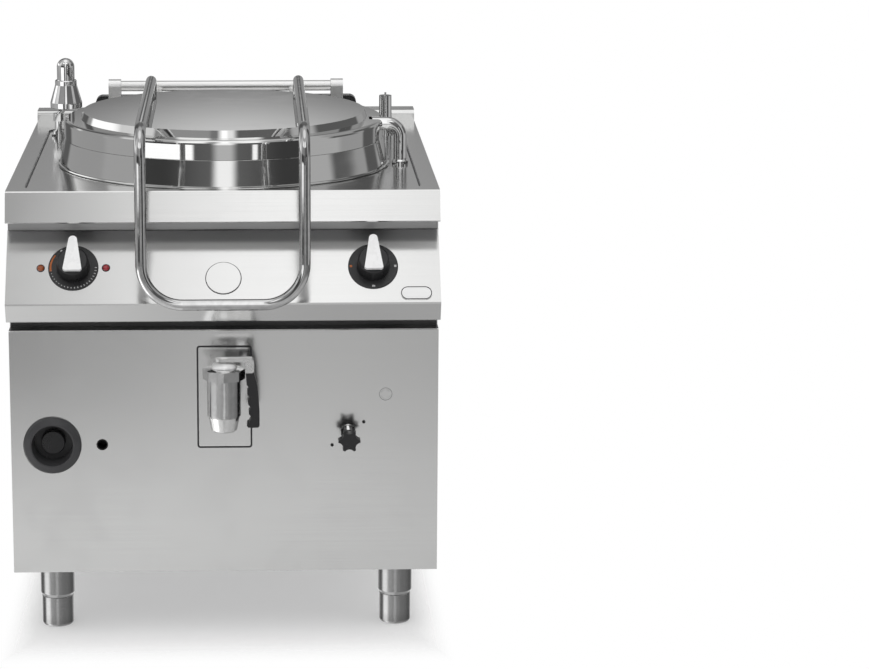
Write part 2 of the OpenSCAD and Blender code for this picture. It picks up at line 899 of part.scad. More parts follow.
module leg_sleeves() {
    color("darkgray")
        for (s = [-1, 1], y = leg_y)
            translate([s * leg_x, y, 0])
                difference() {
                    union() {
                        rod_z(0, 0, sleeve_z + sleeve_chamfer, body_z, sleeve_r);
                        rod_z(0, 0, sleeve_z, sleeve_z + sleeve_chamfer,
                              sleeve_r - sleeve_chamfer / 2, sleeve_r);
                    }
                    rod_z(0, 0, sleeve_z - over, sleeve_z + foot_stem_l + seam, foot_stem_r + run);
                }
}

module foot(x, y) {
    color("dimgray")
        translate([x, y, 0])
            rotate_extrude()
                polygon([[0, 0], [foot_r - 2 * edge_r, 0], [foot_r - edge_r, edge_r / 2],
                         [foot_r - edge_r / 3, edge_r], [foot_r, 2 * edge_r],
                         [foot_r, sleeve_z - edge_r / 2], [foot_r - edge_r / 2, sleeve_z],
                         [foot_stem_r, sleeve_z], [foot_stem_r, sleeve_z + foot_stem_l - edge_r],
                         [foot_stem_r - edge_r, sleeve_z + foot_stem_l], [0, sleeve_z + foot_stem_l]]);
}

module foot_front_left() {
    foot(-leg_x, leg_y[0]);
}

module foot_front_right() {
    foot(leg_x, leg_y[0]);
}

module foot_rear_left() {
    foot(-leg_x, leg_y[1]);
}

module foot_rear_right() {
    foot(leg_x, leg_y[1]);
}

/* Pan */

collar_t = 2;
collar_in_r = collar_foot_r - 2 * edge_r;

// Space inside the pan, with the rounded corner at its floor
module pan_cavity() {
    about_pan()
        union() {
            translate([0, pan_floor_z])
                square([pan_r - pan_knuckle, pan_knuckle]);
            translate([0, pan_floor_z + pan_knuckle])
                square([pan_r, rim_z - pan_floor_z - pan_knuckle + over]);
            intersection() {
                translate([pan_r - pan_knuckle, pan_floor_z + pan_knuckle])
                    circle(pan_knuckle);
                translate([0, pan_floor_z])
                    square([pan_r, pan_knuckle]);
            }
        }
}

module vessel() {
    ro = pan_knuckle + pan_wall;
    color("whitesmoke")
        difference() {
            about_pan()
                union() {
                    translate([0, pan_floor_z - pan_wall])
                        square([pan_r - pan_knuckle, ro]);
                    translate([0, pan_floor_z + pan_knuckle])
                        square([pan_r + pan_wall, rim_z - pan_floor_z - pan_knuckle]);
                    intersection() {
                        translate([pan_r - pan_knuckle, pan_floor_z + pan_knuckle])
                            circle(ro);
                        translate([0, pan_floor_z - pan_wall])
                            square([pan_r + pan_wall, ro]);
                    }
                }
            pan_cavity();
            rod_y(0, tap_z, y_panel, y_pan - pan_r + pan_knuckle, drain_r);
        }
}

// Conical shell with a flat top and a bead round its foot
module pan_collar() {
    slope_r = (collar_foot_r - collar_top_r) / (collar_z - well_z);
    color("silver")
        about_pan()
            polygon([[pan_r + pan_wall, collar_z], [collar_top_r - collar_t / 2, collar_z],
                     [collar_top_r, collar_z - collar_t / 2],
                     [collar_foot_r - 2 * bead_r * slope_r, well_z + 2 * bead_r],
                     [collar_foot_r + bead_r * 0.7, well_z + bead_r * 1.7],
                     [collar_foot_r + bead_r, well_z + bead_r],
                     [collar_foot_r + bead_r * 0.7, well_z + bead_r * 0.3], [collar_foot_r, well_z],
                     [collar_foot_r - collar_t, well_z], [collar_top_r - collar_t, collar_z - collar_t],
                     [pan_r + pan_wall, collar_z - collar_t]]);
}

jacket_z = pan_floor_z - pan_wall - jacket_drop;

module jacket() {
    color("darkgray")
        difference() {
            about_pan()
                polygon([[0, jacket_z - sheet], [jacket_r, jacket_z - sheet], [jacket_r, jacket_top_z],
                         [pan_r + pan_wall, jacket_top_z], [pan_r + pan_wall, jacket_top_z - sheet],
                         [jacket_r - sheet, jacket_top_z - sheet],
                         [jacket_r - sheet, jacket_z], [0, jacket_z]]);
            rod_y(0, tap_z, y_panel, y_pan - pan_r, drain_r);
        }
}

module lagging() {
    color("khaki")
        difference() {
            about_pan()
                translate([jacket_r, jacket_z - sheet])
                    square([lagging_t, jacket_top_z - jacket_z + sheet]);
            rod_y(0, tap_z, y_panel, y_pan - pan_r, drain_r);
        }
}

// Round chamber under the jacket with its duct up to the flue cover
module combustion_chamber() {
    duct_z = (chamber_z + chamber_top) / 2;
    color("gray")
        union() {
            difference() {
                about_pan()
                    translate([chamber_r - sheet, chamber_z])
                        square([sheet, jacket_z - sheet - chamber_z]);
                box([-chamber_r / 2 + sheet, y_pan, duct_z + sheet],
                    [chamber_r / 2 - sheet, y_pan + chamber_r + over, chamber_top - fold - sheet]);
            }
            difference() {
                union() {
                    box([-flue_half + sheet, duct_y, duct_z], [flue_half - sheet, y_rear - sheet, flue_z]);
                    box([-chamber_r / 2, y_pan + chamber_r * 0.8, duct_z],
                        [chamber_r / 2, duct_y + sheet, chamber_top - fold]);
                }
                box([-flue_half + 2 * sheet, duct_y + sheet, duct_z + sheet],
                    [flue_half - 2 * sheet, y_rear - 2 * sheet, flue_z + over]);
                box([-chamber_r / 2 + sheet, y_pan, duct_z + sheet],
                    [chamber_r / 2 - sheet, duct_y + 2 * sheet, chamber_top - fold - sheet]);
                rod_z(0, y_pan, chamber_z, chamber_top + over, chamber_r - sheet / 2, $fn = 180);
            }
        }
}

burner_z = chamber_z + fold;
burner_r = pan_r / 2;
burner_tube = 11;

// Ring burner on four posts that stand on the base plate
module burner() {
    color("darkgray")
        union() {
            translate([0, y_pan, burner_z])
                rotate_extrude($fn = 96)
                    translate([burner_r, 0])
                        circle(burner_tube);
            for (a = [45:90:315])
                rod_z(burner_r * cos(a), y_pan + burner_r * sin(a), base_top, burner_z, burner_tube / 2);
            rod_x(y_pan, burner_z, -burner_r, burner_r, burner_tube);
            for (s = [-1, 1])
                translate([s * chamber_r, y_pan, 0])
                    box([s > 0 ? -sheet - edge_r : -edge_r, -fold, base_top],
                        [s > 0 ? edge_r : sheet + edge_r, fold, chamber_z]);
        }
}

/* Lid */

lid_z = collar_z + seam;
lid_top = collar_z + skirt_h;
disc_z = lid_top + disc_h;
spout_z = top_h + spout_rise;

module notch() {
    box([disc_foot_r + edge_r, spout_y - notch_w / 2, lid_z - over],
        [lid_r + over, spout_y + notch_w / 2, disc_z]);
}

// Centre of the lid's rounded edge
shoulder = [lid_r - lid_round, lid_top - lid_round];

module lid_shell() {
    color("gainsboro")
        difference() {
            about_pan()
                polygon(folded(concat([[0, disc_z], [disc_top_r, disc_z], [disc_foot_r, lid_top]],
                                      [for (a = [0:22.5:90]) shoulder + lid_round * [sin(a), cos(a)]],
                                      [[lid_r, lid_z]]), -lid_wall));
            notch();
        }
}

skin_z = lid_top - disc_h;

module lid_inner_skin() {
    color("silver")
        difference() {
            about_pan()
                polygon(folded([[0, skin_z], [disc_top_r - fold, skin_z],
                                [disc_foot_r + lid_wall, lid_top - 4 * lid_wall],
                                [disc_foot_r + lid_wall, lid_top - lid_wall]], lid_wall));
        }
}

bar_z = disc_z + handle_rise;
y_grip = y_edge - handle_out;
y_rear_end = y_pan + handle_rear;
grip_z = bar_z - handle_drop;

// Quarter bend of a tube; the children turn and place it
module quarter(bend, r) {
    rotate_extrude(angle = 90, $fn = 72)
        translate([bend, 0])
            circle(r, $fn = 40);
}

// Bars, bends and grip of the handle as one solid of radius r
module handle_solid(r) {
    for (s = [-1, 1]) {
        rod_y(s * handle_x, bar_z, y_grip + handle_bend, y_rear_end - rear_bend, r);
        translate([s * handle_x, y_rear_end - rear_bend, bar_z - rear_bend])
            rotate([90, 0, 90])
                quarter(rear_bend, r);
        rod_z(s * handle_x, y_rear_end, lid_top, bar_z - rear_bend, r);
        translate([s * handle_x, y_grip + handle_bend, bar_z - handle_bend])
            rotate([90, 0, 90])
                rotate([0, 0, 90])
                    quarter(handle_bend, r);
        rod_z(s * handle_x, y_grip, grip_z + grip_bend, bar_z - handle_bend, r);
        translate([s * (handle_x - grip_bend), y_grip, grip_z + grip_bend])
            rotate([90, 0, 0])
                rotate([0, 0, s > 0 ? -90 : 180])
                    quarter(grip_bend, r);
    }
    rod_x(y_grip, grip_z, -handle_x + grip_bend, handle_x - grip_bend, r);
}

// Handle tube with its two front posts
module lid_handle() {
    color("silver")
        difference() {
            union() {
                handle_solid(handle_r);
                for (s = [-1, 1]) {
                    rod_z(s * handle_x, y_pan - post_fwd, disc_z, bar_z, handle_r * 0.6);
                    rod_z(s * handle_x, y_pan - post_fwd, disc_z, disc_z + edge_r, handle_r);
                }
            }
            handle_solid(handle_r - handle_wall);
        }
}

/* Hinge */

hinge_z = top_h + hinge_rise;
tube_half = hinge_w / 2 - bracket_w;
arm_z = hinge_z - hinge_tube_r - arm_t + arm_t / 3;

module hinge_arms() {
    color("silver")
        difference() {
            for (s = [-1, 1])
                translate([s * arm_x, 0, 0])
                    box([-arm_w / 2, y_pan + arm_x, arm_z],
                        [arm_w / 2, y_hinge + hinge_tube_r, arm_z + arm_t]);
            rod_x(y_hinge, hinge_z, -tube_half, tube_half, hinge_tube_r);
            rod_z(0, y_pan, collar_z, disc_z, lid_r, $fn = 180);
        }
}

module hinge_tube() {
    color("silver")
        difference() {
            rod_x(y_hinge, hinge_z, -tube_half + seam, tube_half - seam, hinge_tube_r);
            rod_x(y_hinge, hinge_z, -tube_half - over, tube_half + over, hinge_pin_r + run);
        }
}

module hinge_shaft() {
    color("darkgray")
        rod_x(y_hinge, hinge_z, -hinge_w / 2 + edge_r, hinge_w / 2 - edge_r, hinge_pin_r);
}

module hinge_brackets() {
    color("silver")
        difference() {
            for (s = [-1, 1])
                along_x(s > 0 ? tube_half : -hinge_w / 2, s > 0 ? hinge_w / 2 : -tube_half)
                    union() {
                        difference() {
                            polygon([[y_hinge - bracket_r, top_h], [y_hinge - bracket_r, hinge_z],
                                     [y_hinge + bracket_r, hinge_z], [y_hinge + bracket_r, top_h]]);
                            translate([y_up, top_h - over])
                                square([upstand_d, upstand_h + over]);
                        }
                        translate([y_hinge, hinge_z])
                            circle(bracket_r);
                    }
            rod_x(y_hinge, hinge_z, -hinge_w / 2 + edge_r, hinge_w / 2 - edge_r, hinge_pin_r);
        }
}

/* Drain tap */

y_flange = y_panel - sheet;
plug_z = tap_z - tap_down + edge_r;
tap_top = tap_z + tap_up;
nut_top = tap_top + nut_h;
lever_z = nut_top + lever_gap;
nozzle_z = tap_z - tap_down - nozzle_l;

module drain_pipe() {
    color("silver")
        difference() {
            rod_y(0, tap_z, y_flange, y_pan - pan_r + pan_knuckle, drain_r);
            rod_y(0, tap_z, y_flange - over, y_pan - pan_r + pan_knuckle + over, drain_bore);
            pan_cavity();
        }
}

module tap_body() {
    color("silver")
        difference() {
            union() {
                rod_z(0, y_tap, tap_z - tap_down, tap_top, tap_r);
                rod_y(0, tap_z, y_tap, y_flange, drain_r);
                rod_y(0, tap_z, y_flange - fold / 2, y_flange, drain_r + edge_r);
            }
            rod_y(0, tap_z, y_tap, y_flange + over, nozzle_bore);
            rod_z(0, y_tap, plug_z, tap_top + over, plug_r + run);
            rod_z(0, y_tap, tap_z - tap_down - over, plug_z + over, port_r + edge_r / 2);
        }
}

// Plug with an elbow port that faces left while the lever points right
module tap_plug() {
    color("darkgray")
        difference() {
            union() {
                rod_z(0, y_tap, plug_z + seam, tap_top - seam, plug_r);
                rod_z(0, y_tap, tap_top - seam, lever_z + lever_t, stem_r);
            }
            rod_z(0, y_tap, plug_z - over, tap_z, port_r);
            translate([0, y_tap, tap_z])
                sphere(port_r);
            rod_x(y_tap, tap_z, -plug_r - over, 0, port_r);
        }
}

module tap_cap_nut() {
    color("silver")
        difference() {
            union() {
                intersection() {
                    translate([0, y_tap, tap_top])
                        cylinder(h = nut_h, r = nut_across / 2, $fn = nut_sides);
                    union() {
                        rod_z(0, y_tap, tap_top, nut_top - nut_chamfer, nut_r);
                        rod_z(0, y_tap, nut_top - nut_chamfer, nut_top, nut_r, nut_face_r);
                    }
                }
                rod_z(0, y_tap, nut_top, nut_top + nut_boss_h, nut_face_r, nut_boss_r);
            }
            rod_z(0, y_tap, tap_top - over, nut_top + nut_boss_h + over, stem_r + run);
        }
}

module tap_nozzle() {
    color("silver")
        translate([0, y_tap, 0])
            rotate_extrude()
                polygon([[nozzle_bore, nozzle_z], [nozzle_tip_r - edge_r, nozzle_z],
                         [nozzle_tip_r - edge_r / 3, nozzle_z + edge_r / 2],
                         [nozzle_tip_r, nozzle_z + edge_r],
                         [nozzle_r, tap_z - tap_down - edge_r], [nozzle_r, tap_z - tap_down],
                         [nozzle_bore, tap_z - tap_down]]);
}

knuckle_x0 = nut_across / 2 + knuckle_gap;
knuckle_x1 = knuckle_x0 + knuckle_w;
knuckle_z = lever_z + lever_t - knuckle_h;

module tap_lever() {
    color("silver")
        translate([0, y_tap, 0])
            difference() {
                union() {
                    translate([0, 0, lever_z])
                        linear_extrude(lever_t)
                            translate([bar_w / 2 - bar_tail, 0])
                                union() {
                                    circle(bar_w / 2);
                                    translate([0, -bar_w / 2])
                                        square([knuckle_x0 + bar_tail - bar_w / 2, bar_w]);
                                }
                    box([knuckle_x0, -lever_w / 2, knuckle_z],
                        [knuckle_x1 - lever_t, lever_w / 2, lever_z + lever_t]);
                    box([knuckle_x0, -lever_w / 2, knuckle_z + lever_t],
                        [knuckle_x1, lever_w / 2, lever_z]);
                    for (z = [lever_z, knuckle_z + lever_t])
                        rod_y(knuckle_x1 - lever_t, z, -lever_w / 2, lever_w / 2, lever_t);
                    rod_y((knuckle_x0 + knuckle_x1) / 2, knuckle_z + knuckle_h * 0.4,
                          -lever_w / 2 - sheet / 2, lever_w / 2 + sheet / 2, sheet * 1.3);
                }
                rod_z(0, 0, lever_z - over, lever_z + lever_t + over, stem_r);
            }
}

// Moulded grip: a leaning outline with finger grooves, rounded front and back
module tap_grip() {
    gz = knuckle_z - grip_l;
    inner = knuckle_x0;
    pitch = grip_l * 0.72 / grooves;
    groove_r = pitch * 0.42;
    groove_down = [for (i = [0:grooves - 1]) grip_l * 0.28 + pitch * i];
    color([0.07, 0.07, 0.07])
        translate([0, y_tap, 0])
            intersection() {
                along_y(-lever_w / 2, lever_w / 2)
                    difference() {
                        union() {
                            polygon([[inner, knuckle_z], [inner + edge_r * 0.4, knuckle_z - grip_l * 0.14],
                                     [inner + grip_lean, gz + edge_r], [inner + grip_lean + edge_r, gz],
                                     [inner + grip_lean + grip_t - edge_r, gz],
                                     [inner + grip_lean + grip_t, gz + edge_r],
                                     [inner + grip_lean + grip_t, gz + grip_l * 0.3],
                                     [inner + grip_lean * 0.5 + grip_t, gz + grip_l * 0.75],
                                     [knuckle_x1, knuckle_z]]);
                            translate([inner + grip_lean - edge_r * 0.2, gz + edge_r * 1.6])
                                circle(edge_r * 1.6);
                        }
                        for (down = groove_down)
                            translate([inner + grip_lean * down / grip_l + groove_d - groove_r,
                                       knuckle_z - down])
                                circle(groove_r);
                    }
                translate([0, 0, gz])
                    linear_extrude(grip_l)
                        translate([inner + (grip_lean + grip_t) / 2, 0])
                            rrect(grip_lean + grip_t + 4 * edge_r, lever_w, edge_r * 3);
            }
}

/* Front fittings */

// Lobed knob on the spindle of the level cock
module star_knob() {
    color([0.08, 0.08, 0.08])
        translate([cock_x, y_panel - star_out, cock_z])
            rotate([-90, 0, 0])
                union() {
                    linear_extrude(star_t)
                        difference() {
                            circle(star_r);
                            for (i = [0:lobes - 1])
                                rotate(360 / lobes * (i + 0.5))
                                    translate([star_r * 1.22, 0])
                                        circle(star_r * 0.5);
                        }
                    translate([0, 0, star_t])
                        cylinder(h = star_out - star_t - cock_neck - seam, r1 = cock_r, r2 = cock_r * 0.7);
                    translate([0, 0, star_out - cock_neck - seam])
                        cylinder(h = cock_neck + fold, r = cock_r * 0.4);
                }
}

cock_neck = 18;

module level_cock() {
    color("silver")
        difference() {
            union() {
                rod_y(cock_x, cock_z, y_panel - cock_neck, y_panel + fold, cock_r);
                rod_y(cock_x, cock_z, y_panel - edge_r, y_panel, cock_r * 1.5);
                rod_y(cock_x, cock_z, y_panel + sheet, y_panel + fold + fold, cock_r * 1.5);
            }
            rod_y(cock_x, cock_z, y_panel - cock_neck - over, y_panel + fold, cock_r * 0.4 + run);
        }
}

module panel_screws() {
    color("gray")
        for (p = screw_at)
            union() {
                rod_y(p[0], p[1], y_panel - sheet, y_panel, screw_r);
                rod_y(p[0], p[1], y_panel, y_panel + fold / 2, screw_r / 2);
            }
}

module blanking_plug() {
    color("silver")
        union() {
            rod_y(blank_x, blank_z, y_panel - sheet / 3, y_panel + sheet + edge_r, blank_r - 2 * seam);
            rod_y(blank_x, blank_z, y_panel + sheet, y_panel + sheet + edge_r, blank_r + edge_r);
        }
}

module gas_knob_cup() {
    color([0.09, 0.09, 0.09])
        translate([-gas_x, y_panel - cup_out, gas_z])
            rotate([-90, 0, 0])
                rotate_extrude($fn = 96)
                    polygon([[cup_mouth_r, 0], [cup_mouth_r + edge_r, 0], [cup_r - edge_r, cup_out * 0.35],
                             [cup_r, cup_out * 0.7], [cup_r, cup_out], [cup_body_r, cup_out],
                             [cup_body_r, cup_depth + edge_r], [gas_hub_r, cup_depth + edge_r],
                             [gas_hub_r, cup_depth],
                             [cup_mouth_r - edge_r, cup_depth], [cup_mouth_r - edge_r / 2, cup_out]]);
}

gas_hub_r = 12;
gas_pin_r = 5;
gas_back = y_panel - cup_out + cup_depth;
gas_travel = 4;
flutes = 12;

// Gas valve with a snout through the back of the cup
module gas_valve() {
    color("gray")
        difference() {
            union() {
                rod_y(-gas_x, gas_z, gas_back, gas_back + edge_r, gas_hub_r);
                translate([-gas_x, gas_back + edge_r, gas_z])
                    box([-fold * 1.2, 0, -fold * 1.5], [fold * 1.2, fold * 3, fold * 1.5]);
            }
            rod_y(-gas_x, gas_z, gas_back - over, gas_back + fold * 2, gas_pin_r + run);
        }
}

// Room left behind the knob when it is pushed in
push_room = 1;
gas_face = gas_back - gas_travel - push_room - gas_knob_h;

// Sliding spindle of the gas valve
module gas_stem() {
    color("darkgray")
        rod_y(-gas_x, gas_z, gas_face + edge_r, gas_back + fold, gas_pin_r);
}

// Fluted knob that turns on the spindle
module gas_knob() {
    color([0.12, 0.12, 0.12])
        difference() {
            translate([-gas_x, gas_face, gas_z])
                rotate([-90, 0, 0])
                    union() {
                        cylinder(h = edge_r / 2, r1 = gas_knob_r - edge_r / 2, r2 = gas_knob_r);
                        translate([0, 0, edge_r / 2])
                            linear_extrude(gas_knob_h - edge_r / 2)
                                difference() {
                                    circle(gas_knob_r);
                                    for (i = [0:flutes - 1])
                                        rotate(360 / flutes * i)
                                            translate([gas_knob_r + edge_r / 2, 0])
                                                circle(edge_r * 0.8);
                                }
                    }
            rod_y(-gas_x, gas_z, gas_face + edge_r, gas_back, gas_pin_r + run);
        }
}

// Gas, cold water and hot water sockets under the base
module inlet_pipes() {
    color("goldenrod")
        difference() {
            for (p = inlet_at) {
                rod_z(p[0], p[1], body_z - inlet_l, body_z - inlet_nut_t, inlet_r);
                translate([p[0], p[1], body_z - inlet_nut_t])
                    linear_extrude(inlet_nut_t)
                        circle(inlet_nut_r, $fn = 6);
                rod_z(p[0], p[1], body_z - inlet_nut_t, base_top + fold, inlet_neck_r);
            }
            for (p = inlet_at)
                rod_z(p[0], p[1], body_z - inlet_l - over, base_top, inlet_bore);
        }
}

module sight_tube() {
    color([0.1, 0.1, 0.1])
        difference() {
            union() {
                rod_y(-sight_x, gas_z, y_panel - sheet / 3, y_panel + fold * 2, sight_r);
            }
            rod_y(-sight_x, gas_z, y_panel - over, y_panel + fold * 1.8, sight_r * 0.8);
        }
}

/* Worktop fittings */

safety_pipe_r = 7;
safety_y = y_rear - safety_rear;
bell_x = -safety_x + bell_dx;
bell_z = top_h + bell_rise;
guide_r = 8;
guide_z = bell_z + bell_h * 0.46;
neck_z = bell_z + fold / 5;
nut_z = bell_z - fold * 1.4;

// Filling pipe with a bend over the pan's rim
module water_spout() {
    wall = sheet;
    color("silver")
        difference() {
            union() {
                rod_z(spout_x, spout_y, well_z - fold, spout_z - spout_bend, spout_r);
                rod_z(spout_x, spout_y, well_z, well_z + edge_r * 2, spout_r + edge_r);
                rod_z(spout_x, spout_y, well_z + edge_r * 2, well_z + edge_r * 3, spout_r + edge_r, spout_r);
                translate([spout_x - spout_bend, spout_y, spout_z - spout_bend])
                    rotate([90, 0, 0])
                        quarter(spout_bend, spout_r);
                rod_x(spout_y, spout_z, spout_x - spout_bend - spout_arm, spout_x - spout_bend, spout_r);
            }
            rod_z(spout_x, spout_y, well_z - fold - over, spout_z - spout_bend, spout_r - wall);
            translate([spout_x - spout_bend, spout_y, spout_z - spout_bend])
                rotate([90, 0, 0])
                    quarter(spout_bend, spout_r - wall);
            rod_x(spout_y, spout_z, spout_x - spout_bend - spout_arm - over, spout_x - spout_bend,
                  spout_r - wall);
        }
}

// Steam pipe with its union nut, an offset neck and the guide that the bell rides on
module safety_pipe() {
    rise = neck_z - nut_z - fold * 0.6;
    color("silver")
        union() {
            rod_z(-safety_x, safety_y, well_z - fold, nut_z, safety_pipe_r);
            rod_z(-safety_x, safety_y, well_z, well_z + edge_r * 2, safety_pipe_r * 2);
            rod_z(-safety_x, safety_y, well_z + edge_r * 2, well_z + edge_r * 4, safety_pipe_r * 1.5);
            translate([-safety_x, safety_y, nut_z])
                cylinder(h = fold * 0.8, r = safety_pipe_r * 1.5, $fn = 6);
            translate([-safety_x, safety_y, nut_z + fold * 0.6])
                rotate([0, atan2(bell_dx, rise), 0])
                    cylinder(h = norm([bell_dx, rise]), r = safety_pipe_r * 0.8);
            rod_z(bell_x, safety_y, neck_z - safety_pipe_r, guide_z, guide_r);
        }
}

// Dead-weight bell that lifts to let steam out
module safety_bell() {
    cone_z = bell_z + bell_h * 0.11;
    neck = bell_z + bell_h * 0.46;
    ring = bell_z + bell_h * 0.56;
    color("silver")
        translate([bell_x, safety_y, 0])
            difference() {
                union() {
                    rotate_extrude()
                        polygon([[0, bell_z], [bell_r - edge_r / 3, bell_z], [bell_r, bell_z + edge_r / 3],
                                 [bell_r, cone_z], [bell_top_r, neck], [bell_top_r, ring - edge_r / 2],
                                 [bell_top_r - edge_r / 2, ring], [dome_r, ring],
                                 [dome_r, bell_z + bell_h - dome_r],
                                 [0, bell_z + bell_h - dome_r]]);
                    translate([0, 0, bell_z + bell_h - dome_r])
                        sphere(dome_r);
                }
                rod_z(0, 0, bell_z - over, cone_z + fold / 2, bell_r - edge_r, bell_top_r - edge_r);
                rod_z(0, 0, bell_z, guide_z, guide_r + run);
            }
}

// Vent valve on the right, bored for its pin
module vent_valve() {
    color("silver")
        translate([vent_x, vent_y, 0])
            difference() {
                union() {
                    rod_z(0, 0, well_z, top_h + vent_h, vent_r, vent_r * 0.94);
                    rod_z(0, 0, well_z, well_z + edge_r, vent_r + edge_r);
                }
                rod_z(0, 0, top_h + vent_h - fold, top_h + vent_h + over, pin_r + run);
            }
}

pin_r = 2;
pin_press = 3;

module vent_pin() {
    color("silver")
        rod_z(vent_x, vent_y, top_h + vent_h - fold + pin_press + seam,
              top_h + vent_h + 2 * pin_press, pin_r);
}

chassis_frame();
base_plate();
side_panels();
rear_panel();
front_panel();
tap_cover_plate();
worktop();
rear_upstand();
flue_cover();
control_panel();
leg_sleeves();
foot_front_left();
foot_front_right();
foot_rear_left();
foot_rear_right();
vessel();
pan_collar();
jacket();
lagging();
combustion_chamber();
burner();
lid_shell();
lid_inner_skin();
lid_handle();
hinge_arms();
hinge_tube();
hinge_shaft();
hinge_brackets();
drain_pipe();
tap_body();
tap_plug();
tap_cap_nut();
tap_nozzle();
tap_lever();
tap_grip();
level_cock();
star_knob();
panel_screws();
blanking_plug();
gas_knob_cup();
gas_valve();
gas_stem();
gas_knob();
inlet_pipes();
sight_tube();
knob_dials();
temp_knob();
temp_pointer();
fill_knob();
fill_pointer();
panel_switches();
amber_lamp();
red_lamp();
panel_cap();
badge_plate();
water_spout();
safety_pipe();
safety_bell();
vent_valve();
vent_pin();
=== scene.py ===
# %% [markdown]
# # A boiling pan in stainless steel
# The CAD model already holds every solid of this appliance, so it is loaded as a fixed frame. What is
# left for Blender is what a photograph shows: the finish of each metal, the prints on the dials, the
# thin dark lines round plates and lamps, the domed cap of the tap's nut, and the light of a studio.

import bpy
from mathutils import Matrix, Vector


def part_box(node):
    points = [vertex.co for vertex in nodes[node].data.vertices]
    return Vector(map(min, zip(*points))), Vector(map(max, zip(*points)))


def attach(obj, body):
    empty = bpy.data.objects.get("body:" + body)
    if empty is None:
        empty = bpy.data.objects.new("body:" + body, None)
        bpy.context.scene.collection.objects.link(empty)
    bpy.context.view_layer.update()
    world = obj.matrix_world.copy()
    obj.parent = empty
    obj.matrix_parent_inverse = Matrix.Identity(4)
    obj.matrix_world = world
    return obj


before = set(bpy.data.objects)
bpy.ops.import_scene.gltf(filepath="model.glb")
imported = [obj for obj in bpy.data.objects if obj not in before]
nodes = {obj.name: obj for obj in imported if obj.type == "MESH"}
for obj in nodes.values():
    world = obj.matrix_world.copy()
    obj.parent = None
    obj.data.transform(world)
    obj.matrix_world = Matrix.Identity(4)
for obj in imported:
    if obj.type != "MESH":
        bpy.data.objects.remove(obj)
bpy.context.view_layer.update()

# %% The other modules
import math

import bmesh
import bpy
from mathutils import Matrix, Vector

MM = 0.001
MICRON = 0.000001
scene = bpy.context.scene

# %% [markdown]
# ## The camera
# The picture was taken from the front, a little above the worktop, with a long lens. The place, turn and
# lens come from the edges of the appliance in the picture. The appliance stands left of the middle, so
# part of that offset is a small turn of the camera, and the rest is a lens shift.

# %% Camera
CAMERA_PLACE = (0.0502, -5.6266, 1.7961)  # metres
CAMERA_PITCH, CAMERA_YAW = 0.2098, -0.0281  # radians
LENS, SENSOR = 119.71, 36  # millimetres
LENS_SHIFT = (0.12, -0.05)

camera_data = bpy.data.cameras.new("camera")
camera_data.lens = LENS
camera_data.sensor_width = SENSOR
camera_data.shift_x, camera_data.shift_y = LENS_SHIFT
camera = bpy.data.objects.new("camera", camera_data)
scene.collection.objects.link(camera)
camera.location = CAMERA_PLACE
camera.rotation_euler = (math.pi / 2 - CAMERA_PITCH, 0, CAMERA_YAW)
scene.camera = camera
scene.view_settings.view_transform = "Standard"
print("camera at", CAMERA_PLACE, "lens", LENS)

# %% [markdown]
# ## Small helpers for node trees
# A material is a tree of nodes. A few helpers keep the cells below short. They add a node and fill its
# inputs, do sums on values, mix colours, and make a node group with named sockets.


# %% Node helpers
def fill(tree, node, inputs):
    """Gives each input its value, or links the socket that is given for it."""
    for key, value in inputs.items():
        if isinstance(value, bpy.types.NodeSocket):
            tree.links.new(value, node.inputs[key])
        else:
            node.inputs[key].default_value = value
    return node


def put(tree, kind, inputs=None, **settings):
    """Adds a node with its settings and inputs."""
    node = tree.nodes.new(kind)
    for name, value in settings.items():
        setattr(node, name, value)
    return fill(tree, node, inputs or {})


def math_node(tree, operation, a, b=0.0, clamp=False):
    """A Math node's result."""
    return put(tree, "ShaderNodeMath", {0: a, 1: b}, operation=operation, use_clamp=clamp).outputs[0]


def times(tree, a, b, clamp=False):
    return math_node(tree, "MULTIPLY", a, b, clamp)


def plus(tree, a, b, clamp=False):
    return math_node(tree, "ADD", a, b, clamp)


def minus(tree, a, b):
    return math_node(tree, "SUBTRACT", a, b)


def most(tree, a, b):
    return math_node(tree, "MAXIMUM", a, b)


def ramp(tree, value, low, high, start=0.0, end=1.0, smooth=True):
    """A value that goes from start to end while the input goes from low to high."""
    node = put(
        tree, "ShaderNodeMapRange",
        {"Value": value, "From Min": low, "From Max": high, "To Min": start, "To Max": end},
    )
    node.interpolation_type = "SMOOTHSTEP" if smooth else "LINEAR"
    return node.outputs["Result"]


def noise(tree, place, scale, detail=2.0, distortion=0.0):
    """Cloudy noise between zero and one."""
    return put(tree, "ShaderNodeTexNoise", {"Vector": place, "Scale": scale, "Detail": detail,
                                            "Distortion": distortion}).outputs["Fac"]


def colour_mix(tree, factor, a, b, blend="MIX"):
    """A colour between two colours."""
    return put(tree, "ShaderNodeMix", {0: factor, 6: a, 7: b}, data_type="RGBA",
               blend_type=blend).outputs[2]


def split(tree, vector):
    """A vector's X, Y and Z."""
    return put(tree, "ShaderNodeSeparateXYZ", {0: vector}).outputs


# %% [markdown]
# Colours are plain numbers from 0 to 1. Most of this appliance is neutral, so a grey needs one number,
# and a worn edge or a dim patch is the same colour made paler or darker.


# %% Colours
def grey(value):
    return (value, value, value, 1.0)


def tint(colour, factor, lift=0.0):
    """The colour made paler or darker."""
    return [min(1.0, c * factor + lift) for c in colour[:3]] + [1.0]


# %% [markdown]
# An effect that many materials share is a node group. It is made once with named inputs, and each
# material places it with its own values. The dial marks further down use the same helper for their
# geometry tree.


# %% Node groups
FLOAT, VECTOR, COLOUR = "NodeSocketFloat", "NodeSocketVector", "NodeSocketColor"


